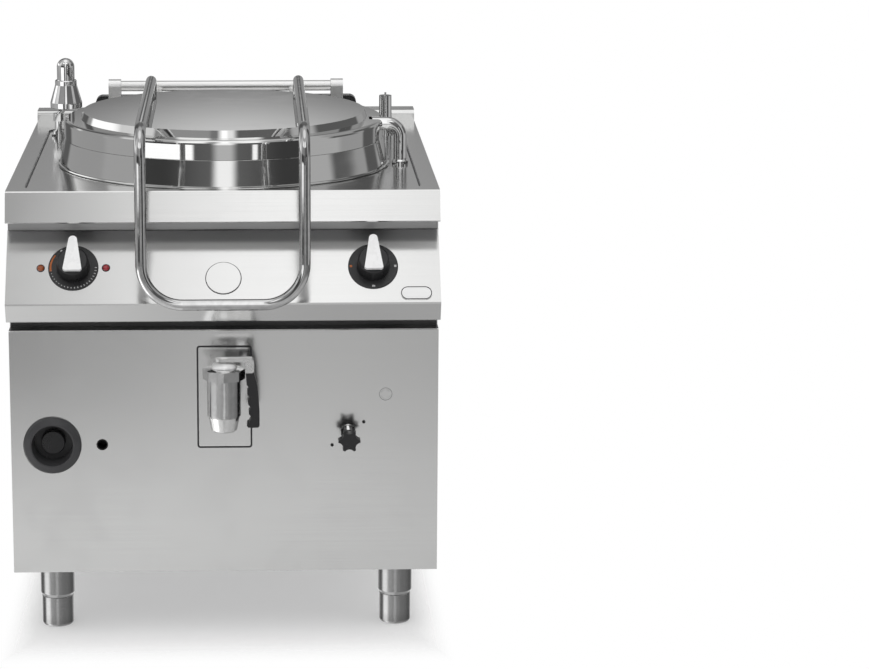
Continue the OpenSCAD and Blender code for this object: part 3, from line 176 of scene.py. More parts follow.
def group(name, inputs, outputs, kind="ShaderNodeTree"):
    """A node group with its sockets. Returns the tree, its input node's sockets and its output node."""
    tree = bpy.data.node_groups.new(name, kind)
    for label, socket_kind, value in inputs:
        socket = tree.interface.new_socket(label, in_out="INPUT", socket_type=socket_kind)
        if value is not None:
            socket.default_value = value
    for label, socket_kind in outputs:
        tree.interface.new_socket(label, in_out="OUTPUT", socket_type=socket_kind)
    return tree, tree.nodes.new("NodeGroupInput").outputs, tree.nodes.new("NodeGroupOutput")


def use(tree, group_tree, inputs):
    """Places a node group in a material. Returns its outputs."""
    return put(tree, "ShaderNodeGroup", inputs, node_tree=group_tree).outputs


def scratched_grey(tree, scratch, contrast):
    """White that falls by the contrast where a scratch lies."""
    tone = minus(tree, 1.0, times(tree, scratch, contrast))
    return put(tree, "ShaderNodeCombineColor", {0: tone, 1: tone, 2: tone}).outputs[0]


# %% [markdown]
# ## Shared effects
# Brushed steel is covered with fine parallel scratches. They are noise that is stretched a few hundred
# times along one direction. The same group serves every brushed sheet, and its inputs say how much of
# the scratch shows in the colour, in the roughness and in the height.


# %% Brushed grain
def make_brushed_grain():
    tree, get, out = group(
        "brushed_grain",
        [("Coordinate", VECTOR, None), ("Stretch", VECTOR, (3.0, 500.0, 500.0)),
         ("Contrast", FLOAT, 0.12), ("Roughness", FLOAT, 0.2), ("Spread", FLOAT, 0.06)],
        [("Tone", COLOUR), ("Roughness", FLOAT), ("Height", FLOAT)],
    )
    stretched = put(tree, "ShaderNodeVectorMath", {0: get["Coordinate"], 1: get["Stretch"]},
                    operation="MULTIPLY").outputs[0]
    fine = noise(tree, stretched, 1.0, 3.0)
    slow = noise(tree, get["Coordinate"], 5.0)
    scratch = ramp(tree, fine, 0.3, 0.7)
    wander = plus(tree, times(tree, scratch, 0.6), times(tree, slow, 0.8))
    extra = times(tree, minus(tree, wander, 0.7), get["Spread"])
    fill(tree, out, {"Tone": scratched_grey(tree, scratch, get["Contrast"]),
                     "Roughness": plus(tree, get["Roughness"], extra, clamp=True), "Height": fine})
    return tree


brushed_grain = make_brushed_grain()
print("group", brushed_grain.name)

# %% [markdown]
# Edges of steel sheet are dressed by hand and get knocked in use, so they are a little brighter and
# rougher than the faces. A Bevel node rounds the normal near an edge, and where the rounded normal
# differs from the real one there is an edge. The group turns that difference into a mask.


# %% Edge wear
def make_edge_wear():
    tree, get, out = group(
        "edge_wear",
        [("Radius", FLOAT, 0.0015), ("Amount", FLOAT, 0.6), ("Coordinate", VECTOR, None)],
        [("Mask", FLOAT)],
    )
    rounded = put(tree, "ShaderNodeBevel", {"Radius": get["Radius"]}, samples=4).outputs[0]
    true_normal = put(tree, "ShaderNodeNewGeometry").outputs["Normal"]
    match = put(tree, "ShaderNodeVectorMath", {0: rounded, 1: true_normal}, operation="DOT_PRODUCT")
    edge = ramp(tree, match.outputs["Value"], 0.995, 0.86)
    uneven = ramp(tree, noise(tree, get["Coordinate"], 40.0), 0.3, 0.65, 0.35, 1.0)
    fill(tree, out, {"Mask": times(tree, times(tree, edge, uneven), get["Amount"], clamp=True)})
    return tree


edge_wear = make_edge_wear()
print("group", edge_wear.name)

# %% [markdown]
# A kitchen appliance that has been wiped down keeps faint cloudy smears. They change the gloss far more
# than the colour, so this group gives a roughness to add, and the mask of the smears.


# %% Smears
def make_smears():
    tree, get, out = group(
        "smears",
        [("Coordinate", VECTOR, None), ("Scale", FLOAT, 9.0), ("Amount", FLOAT, 0.05)],
        [("Roughness", FLOAT), ("Mask", FLOAT)],
    )
    mask = ramp(tree, noise(tree, get["Coordinate"], get["Scale"], 4.0, 1.2), 0.45, 0.75)
    fill(tree, out, {"Roughness": times(tree, mask, get["Amount"]), "Mask": mask})
    return tree


smears = make_smears()
print("group", smears.name)

# %% [markdown]
# Spun pieces, such as the lid and the pan, were polished while they turned. Their scratches are rings
# round an axis. The group measures the distance from that axis and the place along it, and draws noise
# over those two numbers alone.


# %% Turned rings
def make_turned_rings():
    tree, get, out = group(
        "turned_rings",
        [("Coordinate", VECTOR, None), ("Fineness", FLOAT, 900.0), ("Contrast", FLOAT, 0.08)],
        [("Tone", COLOUR), ("Height", FLOAT)],
    )
    x, y, z = split(tree, get["Coordinate"])
    flat = put(tree, "ShaderNodeCombineXYZ", {0: x, 1: y}).outputs[0]
    far = put(tree, "ShaderNodeVectorMath", {0: flat}, operation="LENGTH").outputs["Value"]
    place = put(tree, "ShaderNodeCombineXYZ", {0: far, 1: z}).outputs[0]
    rings = noise(tree, place, get["Fineness"])
    fill(tree, out, {"Tone": scratched_grey(tree, rings, get["Contrast"]), "Height": rings})
    return tree


turned_rings = make_turned_rings()
print("group", turned_rings.name)

# %% [markdown]
# Moulded plastic leaves its tool with a fine matt texture. A very small cell pattern gives the height,
# and a slow noise lets the gloss vary as handled plastic does.


# %% Moulded grain
def make_moulded_grain():
    tree, get, out = group(
        "moulded_grain",
        [("Coordinate", VECTOR, None), ("Fineness", FLOAT, 1400.0), ("Roughness", FLOAT, 0.45)],
        [("Roughness", FLOAT), ("Height", FLOAT), ("Mask", FLOAT)],
    )
    cells = put(tree, "ShaderNodeTexVoronoi", {"Vector": get["Coordinate"], "Scale": get["Fineness"]})
    handled = noise(tree, get["Coordinate"], 35.0, 3.0)
    change = ramp(tree, handled, 0.3, 0.7, -0.07, 0.07)
    fill(tree, out, {"Roughness": plus(tree, get["Roughness"], change, clamp=True),
                     "Height": cells.outputs["Distance"], "Mask": handled})
    return tree


moulded_grain = make_moulded_grain()
print("group", moulded_grain.name)


# %% [markdown]
# ## The metals
# A metal's colour in the Principled shader is the colour of its reflections. Stainless steel returns
# about two thirds of the light, nearly neutral. What tells a brushed panel from a polished lid is the
# roughness and the direction of the scratches, so one function builds all the sheet steels.


# %% A material with its shader
def new_material(name):
    """A material with an empty tree but for the output, the shader and the object's own coordinates."""
    material = bpy.data.materials.new(name)
    material.use_nodes = True
    tree = material.node_tree
    tree.nodes.clear()
    shader = put(tree, "ShaderNodeBsdfPrincipled")
    put(tree, "ShaderNodeOutputMaterial", {"Surface": shader.outputs[0]})
    place = put(tree, "ShaderNodeTexCoord").outputs["Object"]
    return material, tree, shader, place


def bump(tree, height, microns):
    """The normal of a surface that the height lifts by up to so many microns."""
    return put(tree, "ShaderNodeBump", {"Height": height, "Distance": microns * MICRON}).outputs[0]


# %% Sheet steel
def sheet_steel(name, colour, roughness, stretch, contrast=0.1, depth=20, smear=0.05, spread=0.08):
    """Brushed sheet: the stretch is large across the scratches and small along them."""
    material, tree, shader, place = new_material(name)
    grain = use(tree, brushed_grain, {"Coordinate": place, "Stretch": stretch, "Contrast": contrast,
                                      "Roughness": roughness, "Spread": spread})
    edge = use(tree, edge_wear, {"Coordinate": place, "Amount": 0.5})["Mask"]
    wiped = use(tree, smears, {"Coordinate": place, "Amount": smear})
    base = colour_mix(tree, 1.0, colour, grain["Tone"], "MULTIPLY")
    rough = plus(tree, grain["Roughness"], wiped["Roughness"])
    fill(tree, shader, {
        "Base Color": colour_mix(tree, edge, base, tint(colour, 1.15)),
        "Roughness": plus(tree, rough, times(tree, edge, 0.1), clamp=True),
        "Normal": bump(tree, grain["Height"], depth), "Metallic": 1.0})
    return material


STEEL = (0.70, 0.70, 0.695, 1.0)
SIDE_STEEL = (0.84, 0.84, 0.835, 1.0)
HINGE_STEEL = (0.88, 0.88, 0.875, 1.0)
along_x = sheet_steel("steel_brushed_across", SIDE_STEEL, 0.30, (3.0, 700.0, 700.0), depth=4)
along_y = sheet_steel("steel_brushed_deep", SIDE_STEEL, 0.32, (700.0, 3.0, 700.0), depth=4)
fine_x = sheet_steel("steel_fine_front", STEEL, 0.16, (2.0, 900.0, 900.0), contrast=0.02, depth=0.5,
                     smear=0.01, spread=0.012)
top_steel = sheet_steel("steel_worktop", STEEL, 0.15, (2.0, 800.0, 800.0), contrast=0.02, depth=1,
                        smear=0.015, spread=0.02)
hinge_steel = sheet_steel("steel_hinge", HINGE_STEEL, 0.30, (2.0, 900.0, 900.0), contrast=0.04, depth=4,
                          smear=0.03)
badge_steel = sheet_steel("steel_badge", grey(0.86), 0.34, (3.0, 600.0, 600.0), contrast=0.03, depth=3,
                          smear=0.02)
dull_steel = sheet_steel("steel_plain_sheet", grey(0.55), 0.34, (60.0, 60.0, 60.0), smear=0.12)
print("sheet steels", [steel.name for steel in (along_x, along_y, fine_x, top_steel, hinge_steel,
                                                badge_steel, dull_steel)])

# %% [markdown]
# The lid, the collar and the pan share one upright axis, so the rings of their polish turn about the
# middle of the pan. The lid is polished almost to a mirror, and the inside of the pan stays duller.


# %% Turned and polished steel
def turned_steel(name, colour, roughness, centre, contrast=0.06, fineness=900.0, depth=12, smear=0.03):
    """Steel polished while it turned about an upright axis through the centre, given in metres."""
    material, tree, shader, place = new_material(name)
    moved = put(tree, "ShaderNodeVectorMath", {0: place, 1: centre}, operation="SUBTRACT").outputs[0]
    rings = use(tree, turned_rings, {"Coordinate": moved, "Fineness": fineness, "Contrast": contrast})
    edge = use(tree, edge_wear, {"Coordinate": place, "Amount": 0.4, "Radius": 1 * MM})["Mask"]
    wiped = use(tree, smears, {"Coordinate": place, "Amount": smear, "Scale": 14.0})
    base = colour_mix(tree, 1.0, colour, rings["Tone"], "MULTIPLY")
    rough = plus(tree, wiped["Roughness"], roughness)
    fill(tree, shader, {
        "Base Color": colour_mix(tree, edge, base, tint(colour, 1.1)),
        "Roughness": plus(tree, rough, times(tree, rings["Height"], 0.03), clamp=True),
        "Normal": bump(tree, rings["Height"], depth), "Metallic": 1.0})
    return material


def middle(name):
    """The middle of a CAD node's box."""
    low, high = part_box(name)
    return (low + high) / 2


pan_middle = middle("vessel")
lid_polish = turned_steel("steel_lid_polish", STEEL, 0.035, pan_middle, contrast=0.03, fineness=400.0,
                          depth=3, smear=0.015)
collar_polish = turned_steel("steel_collar_polish", STEEL, 0.05, pan_middle, contrast=0.03, depth=4)
pan_inside_steel = turned_steel("steel_pan_inside", STEEL, 0.16, pan_middle, contrast=0.1)
print("lid polish turns about", [round(v, 3) for v in pan_middle])

# %% [markdown]
# Chromed brass is as smooth as the polished lid, and it shows the studio as a mirror does. A mirror with
# one even roughness looks made up, so the smears group dulls it here and there.


# %% Chrome and plain metals
def bright_metal(name, colour, roughness, smear=0.05, dent=20, metallic=1.0):
    """Cast or drawn metal with a polish, a trace of unevenness and soft edges. The dent is in microns."""
    material, tree, shader, place = new_material(name)
    edge = use(tree, edge_wear, {"Coordinate": place, "Amount": 0.3, "Radius": 0.8 * MM})["Mask"]
    wiped = use(tree, smears, {"Coordinate": place, "Amount": smear, "Scale": 26.0})
    uneven = noise(tree, place, 60.0)
    base = colour_mix(tree, ramp(tree, uneven, 0.35, 0.65), colour, tint(colour, 0.9))
    fill(tree, shader, {
        "Base Color": colour_mix(tree, edge, base, tint(colour, 1.12)),
        "Roughness": plus(tree, wiped["Roughness"], roughness, clamp=True),
        "Normal": bump(tree, uneven, dent), "Metallic": metallic})
    return material


CHROME = grey(0.80)
chrome = bright_metal("chrome_bright", CHROME, 0.035)
tap_chrome = bright_metal("chrome_tap_barrel", CHROME, 0.12, dent=8, smear=0.03)
nut_chrome = bright_metal("chrome_cap_nut", grey(0.84), 0.10, dent=8, smear=0.03)
# the dome's pale, partly matt finish is a painted highlight for the reflection on the polished top
dome_painted_highlight = bright_metal("steel_cap_dome_painted_highlight", grey(0.92), 0.22, dent=4, smear=0.02, metallic=0.3)
nozzle_steel = bright_metal("steel_nozzle", (0.78, 0.78, 0.775, 1.0), 0.24, dent=8, smear=0.04)
tube_chrome = bright_metal("steel_tube_polish", grey(0.60), 0.05, dent=6)
satin_cast = bright_metal("steel_cast_satin", (0.74, 0.74, 0.735, 1.0), 0.24, smear=0.08, dent=40)
brass = bright_metal("brass_drawn", (0.78, 0.57, 0.28, 1.0), 0.22, smear=0.15)
aluminium = bright_metal("aluminium_cast", (0.66, 0.67, 0.68, 1.0), 0.4, smear=0.1, dent=100)
heated = bright_metal("steel_heat_tinted", (0.42, 0.36, 0.30, 1.0), 0.42, smear=0.2, dent=80)
print("bright metals", [metal.name for metal in (chrome, tap_chrome, nut_chrome, dome_painted_highlight, nozzle_steel,
                                                 tube_chrome, satin_cast, brass, aluminium, heated)])

# %% [markdown]
# The legs are tubes that stand on the floor, with their scratches round them. All four share one
# material: its noise is stretched so that it changes fast only with the height, which gives rings on
# each tube wherever it stands. Near the floor they get darker, a painted shade where the tubes meet the
# floor.


# %% Leg steel
def leg_steel():
    material, tree, shader, place = new_material("steel_leg_tube")
    grain = use(tree, brushed_grain, {"Coordinate": place, "Stretch": (20.0, 20.0, 1200.0),
                                      "Contrast": 0.1, "Roughness": 0.22, "Spread": 0.08})
    edge = use(tree, edge_wear, {"Coordinate": place, "Amount": 0.5, "Radius": 1 * MM})["Mask"]
    # darker in the lowest 30 mm: painted shade where the tubes meet the floor
    floor_shade_mask = ramp(tree, split(tree, place)[2], 0.03, 0.0, 0.0, 0.5)
    base = colour_mix(tree, 1.0, grey(0.52), grain["Tone"], "MULTIPLY")
    floor_shaded = colour_mix(tree, floor_shade_mask, base, grey(0.25))
    fill(tree, shader, {"Base Color": colour_mix(tree, edge, floor_shaded, grey(0.8)),
                        "Roughness": grain["Roughness"], "Normal": bump(tree, grain["Height"], 15),
                        "Metallic": 1.0})
    return material


leg_tube = leg_steel()
print("legs", leg_tube.name)


# %% [markdown]
# ## Plastics, enamel and lenses
# The knobs, the tap's grip and the cup of the gas knob are moulded in black plastic. Black plastic is
# never quite black: a value between 0.01 and 0.04 keeps its form readable. Enamel is the same thing with
# a clear coat, and the lagging is a rough one.


# %% Plastics
def plastic(name, colour, roughness, fineness=1400.0, depth=40, coat=0.0, wear=0.25):
    material, tree, shader, place = new_material(name)
    grain = use(tree, moulded_grain, {"Coordinate": place, "Fineness": fineness, "Roughness": roughness})
    edge = use(tree, edge_wear, {"Coordinate": place, "Amount": wear, "Radius": 0.8 * MM})["Mask"]
    base = colour_mix(tree, grain["Mask"], colour, tint(colour, 1.25))
    fill(tree, shader, {"Base Color": colour_mix(tree, edge, base, tint(colour, 0.6, 0.08)),
                        "Roughness": grain["Roughness"], "Normal": bump(tree, grain["Height"], depth),
                        "Coat Weight": coat})
    return material


black_plastic = plastic("plastic_black", (0.012, 0.012, 0.013, 1.0), 0.34)
cup_plastic = plastic("plastic_charcoal", (0.040, 0.040, 0.042, 1.0), 0.36)
dial_black = plastic("dial_black", (0.016, 0.016, 0.017, 1.0), 0.32, fineness=2600.0, depth=10)
pointer_white = plastic("plastic_pale_satin", grey(0.80), 0.3, fineness=2200.0, depth=10, wear=0.1)
enamel = plastic("enamel_black", (0.014, 0.014, 0.015, 1.0), 0.28, fineness=300.0, depth=60, coat=0.5)
hole_black = plastic("black_matt", grey(0.006), 0.6)
wool = plastic("mineral_wool", (0.52, 0.47, 0.30, 1.0), 0.9, fineness=220.0, depth=3000, wear=0.0)
print("plastics", [stuff.name for stuff in (black_plastic, cup_plastic, dial_black, pointer_white, enamel,
                                            hole_black, wool)])

# %% [markdown]
# The two lamps are small coloured lenses. A lens is deeper in colour where it is seen at a slant, so the
# Layer Weight node darkens it towards its rim.


# %% Lenses
def lens(name, colour):
    """A small coloured lens: darker towards its rim, bright in the middle."""
    material, tree, shader, place = new_material(name)
    grain = use(tree, moulded_grain, {"Coordinate": place, "Fineness": 900.0, "Roughness": 0.16})
    facing = put(tree, "ShaderNodeLayerWeight", {"Blend": 0.4}).outputs["Facing"]
    fill(tree, shader, {"Base Color": colour_mix(tree, facing, colour, tint(colour, 0.25)),
                        "Roughness": grain["Roughness"], "Normal": bump(tree, grain["Height"], 50),
                        "Coat Weight": 1.0})
    return material


amber = lens("lens_amber", (0.30, 0.062, 0.008, 1.0))
red = lens("lens_red", (0.30, 0.004, 0.012, 1.0))
print("lenses", amber.name, red.name)

# %% [markdown]
# ## A finish for every node
# The CAD solids keep their shape, and each takes the finish that the real piece has. A node that is
# missing from this table would stop the script, so none is left in plain grey.

# %% Finishes
FINISHES = [
    (top_steel, "worktop rear_upstand"),
    (fine_x, "control_panel front_panel tap_cover_plate panel_cap blanking_plug"),
    (along_x, "rear_panel"),
    (along_y, "side_panels"),
    (dull_steel, "base_plate chassis_frame jacket drain_pipe"),
    (badge_steel, "badge_plate"),
    (hinge_steel, "hinge_arms hinge_tube hinge_shaft hinge_brackets"),
    (leg_tube, "leg_sleeves foot_front_left foot_front_right foot_rear_left foot_rear_right"),
    (lid_polish, "lid_shell"),
    (collar_polish, "pan_collar"),
    (pan_inside_steel, "vessel lid_inner_skin"),
    (tube_chrome, "lid_handle"),
    (chrome, "tap_plug level_cock water_spout safety_pipe safety_bell vent_valve vent_pin"),
    (tap_chrome, "tap_body"),
    (nut_chrome, "tap_cap_nut"),
    (nozzle_steel, "tap_nozzle"),
    (satin_cast, "tap_lever"),
    (brass, "gas_stem inlet_pipes"),
    (aluminium, "gas_valve"),
    (heated, "combustion_chamber burner"),
    (wool, "lagging"),
    (enamel, "flue_cover"),
    (black_plastic, "tap_grip star_knob gas_knob temp_knob fill_knob panel_switches"),
    (cup_plastic, "gas_knob_cup"),
    (hole_black, "panel_screws sight_tube"),
    (dial_black, "knob_dials"),
    (pointer_white, "temp_pointer fill_pointer"),
    (amber, "amber_lamp"),
    (red, "red_lamp"),
]
finish_of = {name: finish for finish, names in FINISHES for name in names.split()}
missing = sorted(set(nodes) - set(finish_of))
if missing:
    raise RuntimeError(f"no finish for {missing}")
for name, finish in finish_of.items():
    mesh = nodes[name].data
    mesh.materials.clear()
    mesh.materials.append(finish)
print("finishes given to", len(finish_of), "nodes")

# %% [markdown]
# The underside of the worktop is not polished, and its dark colour is painted shade. The control panel
# shows it as a dark band along its upper edge, so the faces that look down get a second material slot.
# Near the folded front edge it turns pale and matt, a painted highlight.


# %% The worktop's underside
def underside_painted_shade():
    """Unpolished sheet, dark with painted shade, that turns pale and matt near the folded front edge: a
    painted highlight.
    """
    material, tree, shader, place = new_material("steel_underside_painted_shade")
    wiped = use(tree, smears, {"Coordinate": place, "Scale": 7.0, "Amount": 0.1})
    # the band nearest the front edge is pale and not metal: a painted highlight
    front = ramp(tree, split(tree, place)[1], -0.385, -0.390)
    fill(tree, shader, {
        "Base Color": colour_mix(tree, front, (0.30, 0.30, 0.305, 1.0), grey(0.95)),
        "Roughness": plus(tree, wiped["Roughness"], 0.38),
        "Normal": bump(tree, wiped["Mask"], 20), "Metallic": minus(tree, 1.0, front)})
    return material


def second_finish(name, finish, chosen):
    """Gives a node's chosen faces a second material slot."""
    mesh = nodes[name].data
    mesh.materials.append(finish)
    faces = [face for face in mesh.polygons if chosen(face)]
    for face in faces:
        face.material_index = 1
    print(name, "has", len(faces), "faces in", finish.name)


second_finish("worktop", underside_painted_shade(), lambda face: face.normal.z < -0.7)

# %% [markdown]
# Between the control panel and the front panel there is a narrow gap. The plate behind it and the top of
# the front panel lie in shadow there, so both are given a dark unpolished sheet: painted shade. Higher
# up, the plate is seen through the upper gap, and its painted shade is less dark.


# %% The gap above the front panel
def shadow_steel(name, colour, upper=None):
    """Unpolished sheet whose colour is painted shade. An upper colour takes over between 640 and 660 mm
    of height.
    """
    material, tree, shader, place = new_material(name)
    if upper:
        colour = colour_mix(tree, ramp(tree, split(tree, place)[2], 0.66, 0.64), upper, colour)
    wiped = use(tree, smears, {"Coordinate": place, "Scale": 7.0, "Amount": 0.1})
    fill(tree, shader, {"Base Color": colour, "Roughness": plus(tree, wiped["Roughness"], 0.34),
                        "Metallic": 1.0})
    return material


# the frame's plate and the top of the front panel are dark with painted shade
nodes["chassis_frame"].data.materials[0] = shadow_steel("steel_frame_painted_shade", grey(0.12), grey(0.46))
second_finish("front_panel", shadow_steel("steel_gap_painted_shade", (0.22, 0.22, 0.225, 1.0)),
              lambda face: face.normal.z > 0.9 and face.center.z > 0.6)

# %% [markdown]
# ## Prints on the dials
# Each knob stands on a black dial with printed marks. The marks follow an arc, so Geometry Nodes make
# them: points along the arc, a small pad on each point, turned to the middle and made longer along the
# way. The tree is drawn flat at the origin, and the finished mesh is then laid on the sloping panel. The
# inks come first. The dark ones draw outlines round the badge and the lamps, and painted shade in the
# slits and gaps round plates and at the pressed recess's step.


# %% Finish of the prints
def print_ink(name, colour):
    material, tree, shader, place = new_material(name)
    grain = use(tree, moulded_grain, {"Coordinate": place, "Fineness": 3000.0, "Roughness": 0.5})
    fill(tree, shader, {"Base Color": colour_mix(tree, grain["Mask"], colour, tint(colour, 0.85)),
                        "Roughness": grain["Roughness"], "Normal": bump(tree, grain["Height"], 10)})
    return material


white_ink = print_ink("ink_white", grey(0.62))
orange_ink = print_ink("ink_orange", (0.50, 0.14, 0.035, 1.0))
# the dark, grey and faint inks also draw painted shade in slits and gaps
shade_and_outline_ink = print_ink("ink_dark_shade_and_outline", (0.02, 0.02, 0.022, 1.0))
grey_shade_ink = print_ink("ink_grey_painted_shade", (0.06, 0.06, 0.062, 1.0))
faint_shade_ink = print_ink("ink_faint_painted_shade", grey(0.20))
print("inks", [ink.name for ink in (white_ink, orange_ink, shade_and_outline_ink, grey_shade_ink, faint_shade_ink)])

# %% [markdown]
# A geometry tree is worked out once and kept as a plain mesh, because the exported model can't hold a
# live tree. The tree's parts may bring empty material slots, so the mesh is given its one material again.


# %% From a geometry tree to a mesh
def grow(tree, name, values, place):
    """Runs a geometry tree once and keeps its result as a plain mesh, laid at the place."""
    seed = bpy.data.objects.new(name + "_seed", bpy.data.meshes.new(name + "_seed"))
    scene.collection.objects.link(seed)
    modifier = seed.modifiers.new("grow", "NODES")
    modifier.node_group = tree
    for item in tree.interface.items_tree:
        if item.item_type == "SOCKET" and item.in_out == "INPUT" and item.name in values:
            modifier[item.identifier] = values[item.name]
    bpy.context.view_layer.update()
    made = seed.evaluated_get(bpy.context.evaluated_depsgraph_get())
    mesh = bpy.data.meshes.new_from_object(made)
    bpy.data.objects.remove(seed)
    mesh.materials.clear()
    mesh.materials.append(values["Material"])
    for face in mesh.polygons:
        face.material_index = 0
    mesh.transform(place)
    mesh.name = name
    piece = bpy.data.objects.new(name, mesh)
    scene.collection.objects.link(piece)
    print(name, len(mesh.polygons), "faces")
    return piece


# %% [markdown]
# The marks' tree sets out a row of points and bends it to the arc. Each point carries a pad one metre
# long, and its instance's scale makes that the mark's length.


# %% The marks' tree
def marks_tree():
    tree, get, out = group("dial_marks", [
        ("Count", "NodeSocketInt", 20), ("Radius", FLOAT, 0.042), ("Start", FLOAT, 0.0),
        ("Sweep", FLOAT, 3.14), ("Width", FLOAT, 0.001), ("First Length", FLOAT, 0.001),
        ("Last Length", FLOAT, 0.004), ("Thickness", FLOAT, 0.0002),
        ("Material", "NodeSocketMaterial", None),
    ], [("Geometry", "NodeSocketGeometry")], "GeometryNodeTree")
    spot = put(tree, "GeometryNodeMeshLine", {"Count": get["Count"]}, mode="OFFSET")
    index = put(tree, "GeometryNodeInputIndex").outputs[0]
    part = math_node(tree, "DIVIDE", index, most(tree, minus(tree, get["Count"], 1.0), 1.0))
    angle = plus(tree, get["Start"], times(tree, part, get["Sweep"]))
    at = put(tree, "ShaderNodeCombineXYZ", {
        0: times(tree, get["Radius"], math_node(tree, "COSINE", angle)),
        1: times(tree, get["Radius"], math_node(tree, "SINE", angle))})
    laid = put(tree, "GeometryNodeSetPosition", {"Geometry": spot.outputs[0], "Position": at.outputs[0]})
    size = put(tree, "ShaderNodeCombineXYZ", {0: 1.0, 1: get["Width"], 2: get["Thickness"]})
    pad = put(tree, "GeometryNodeMeshCube", {"Size": size.outputs[0]})
    turn = put(tree, "ShaderNodeCombineXYZ", {2: angle})
    growth = minus(tree, get["Last Length"], get["First Length"])
    length = plus(tree, get["First Length"], times(tree, part, growth))
    scale = put(tree, "ShaderNodeCombineXYZ", {0: length, 1: 1.0, 2: 1.0})
    rows = put(tree, "GeometryNodeInstanceOnPoints", {
        "Points": laid.outputs[0], "Instance": pad.outputs[0], "Rotation": turn.outputs[0],
        "Scale": scale.outputs[0]})
    real = put(tree, "GeometryNodeRealizeInstances", {0: rows.outputs[0]})
    inked = put(tree, "GeometryNodeSetMaterial", {"Geometry": real.outputs[0],
                                                 "Material": get["Material"]})
    fill(tree, out, {0: inked.outputs[0]})
    return tree


dial_marks = marks_tree()
print("geometry tree", dial_marks.name)

# %% [markdown]
# The dials lie on the slope of the control panel. The outward normal is that of the dials' largest face,
# and the direction up the slope is at right angles to it.


# %% The plane of the dials
def slope_faces(name):
    """The faces of a node that look up the same way as the panel's slope."""
    return [face for face in nodes[name].data.polygons if face.normal.y < -0.7 and face.normal.z > 0.5]


def slope_height(name):
    """How far out the highest of those faces lies, along the slope's normal."""
    return max(face.center.dot(outward) for face in slope_faces(name))


outward = max(slope_faces("knob_dials"), key=lambda face: face.area).normal.normalized()
up_slope = outward.cross(Vector((1.0, 0.0, 0.0))).normalized()
across = up_slope.cross(outward)


def on_slope(centre, height, lift):
    """Lays flat marks on the slope at a centre, with Y up the slope. The lift is in millimetres."""
    face = Matrix((across, up_slope, outward)).transposed().to_4x4()
    face.translation = centre + outward * (height + lift * MM - centre.dot(outward))
    return face


DIAL_ASIDE = 276.3  # each dial's distance from the middle, in millimetres
dial_height = slope_height("knob_dials")
dials = middle("knob_dials")
dial_centres = {side: Vector((x * MM, dials.y, dials.z))
                for side, x in (("temperature", -DIAL_ASIDE), ("fill", DIAL_ASIDE))}
print("slope's normal", [round(v, 3) for v in outward], "dials' front at", round(dial_height / MM, 2))

# %% [markdown]
# The temperature dial has a row of ticks that get longer round its lower half, an orange arc and a zero
# mark. The fill dial has a mark on each side and a few ticks at its foot. Sizes are in millimetres, and
# the places are hours on a clock face.

# %% Marks of both dials
CLOCK = math.pi / 6


def oclock(hour):
    """The angle of an hour on a clock face, seen from the front."""
    return math.pi / 2 - hour * CLOCK


mark_sets = [
    # name, dial, count, radius, start, sweep, width, first length, last length, ink
    ("temperature_ticks", "temperature", 22, 41.5, oclock(9), CLOCK * 6, 1.2, 1.4, 3.8, white_ink),
    ("temperature_arc", "temperature", 26, 42.0, oclock(10.2), CLOCK * 1.5, 1.6, 2.6, 3.8, orange_ink),
    ("temperature_zero", "temperature", 1, 41.0, oclock(10.9), 0.0, 4.0, 4.0, 4.0, white_ink),
    ("fill_open", "fill", 1, 41.0, oclock(9), 0.0, 4.4, 4.4, 4.4, orange_ink),
    ("fill_hot", "fill", 1, 41.0, oclock(3), 0.0, 4.4, 4.4, 4.4, white_ink),
    ("fill_zero", "fill", 3, 41.0, oclock(6) - 0.05, 0.1, 1.3, 3.6, 3.6, white_ink),
]
INK_THICKNESS, INK_LIFT = 0.2, 0.12
for name, side, count, radius, start, sweep, width, first, last_length, ink in mark_sets:
    marks = grow(dial_marks, name, {
        "Count": count, "Radius": radius * MM, "Start": start, "Sweep": sweep, "Width": width * MM,
        "First Length": first * MM, "Last Length": last_length * MM, "Thickness": INK_THICKNESS * MM,
        "Material": ink}, on_slope(dial_centres[side], dial_height, INK_LIFT))
    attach(marks, "cabinet")

# %% [markdown]
# ## Seams and outlines
# Where two sheets meet there is a thin dark line: round the tap's cover plate, the cap, the badge, the
# plug and the lamps, and along the foot of the pressed recess. Each is a flat ring between two outlines.
# An outline is a rectangle with round corners, and a circle is one whose corners take all of it. The
# ring's skin goes over four loops of points, and the tap's cap further down uses the same helper.


# %% Skins over loops of points
def closed_skin(name, loops, place, finish, body="cabinet"):
    """A skin over loops of points in millimetres, each joined to the next and the last to the first."""
    form = bmesh.new()
    rings = [[form.verts.new([value * MM for value in point]) for point in loop] for loop in loops]
    for ring, after in zip(rings, rings[1:] + rings[:1]):
        for i in range(len(ring)):
            j = (i + 1) % len(ring)
            form.faces.new((ring[i], ring[j], after[j], after[i]))
    bmesh.ops.recalc_face_normals(form, faces=form.faces)
    mesh = bpy.data.meshes.new(name)
    form.to_mesh(mesh)
    form.free()
    mesh.transform(place)
    mesh.materials.append(finish)
    piece = bpy.data.objects.new(name, mesh)
    scene.collection.objects.link(piece)
    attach(piece, body)
    print(name, len(mesh.polygons), "faces")
    return mesh


def round_outline(width, height, corner, steps=12):
    """The points of a rectangle with round corners, in order."""
    points = []
    for index, (sx, sy) in enumerate(((1, 1), (-1, 1), (-1, -1), (1, -1))):
        cx, cy = sx * (width / 2 - corner), sy * (height / 2 - corner)
        for step in range(steps + 1):
            angle = math.pi / 2 * (index + step / steps)
            points.append((cx + corner * math.cos(angle), cy + corner * math.sin(angle)))
    return points


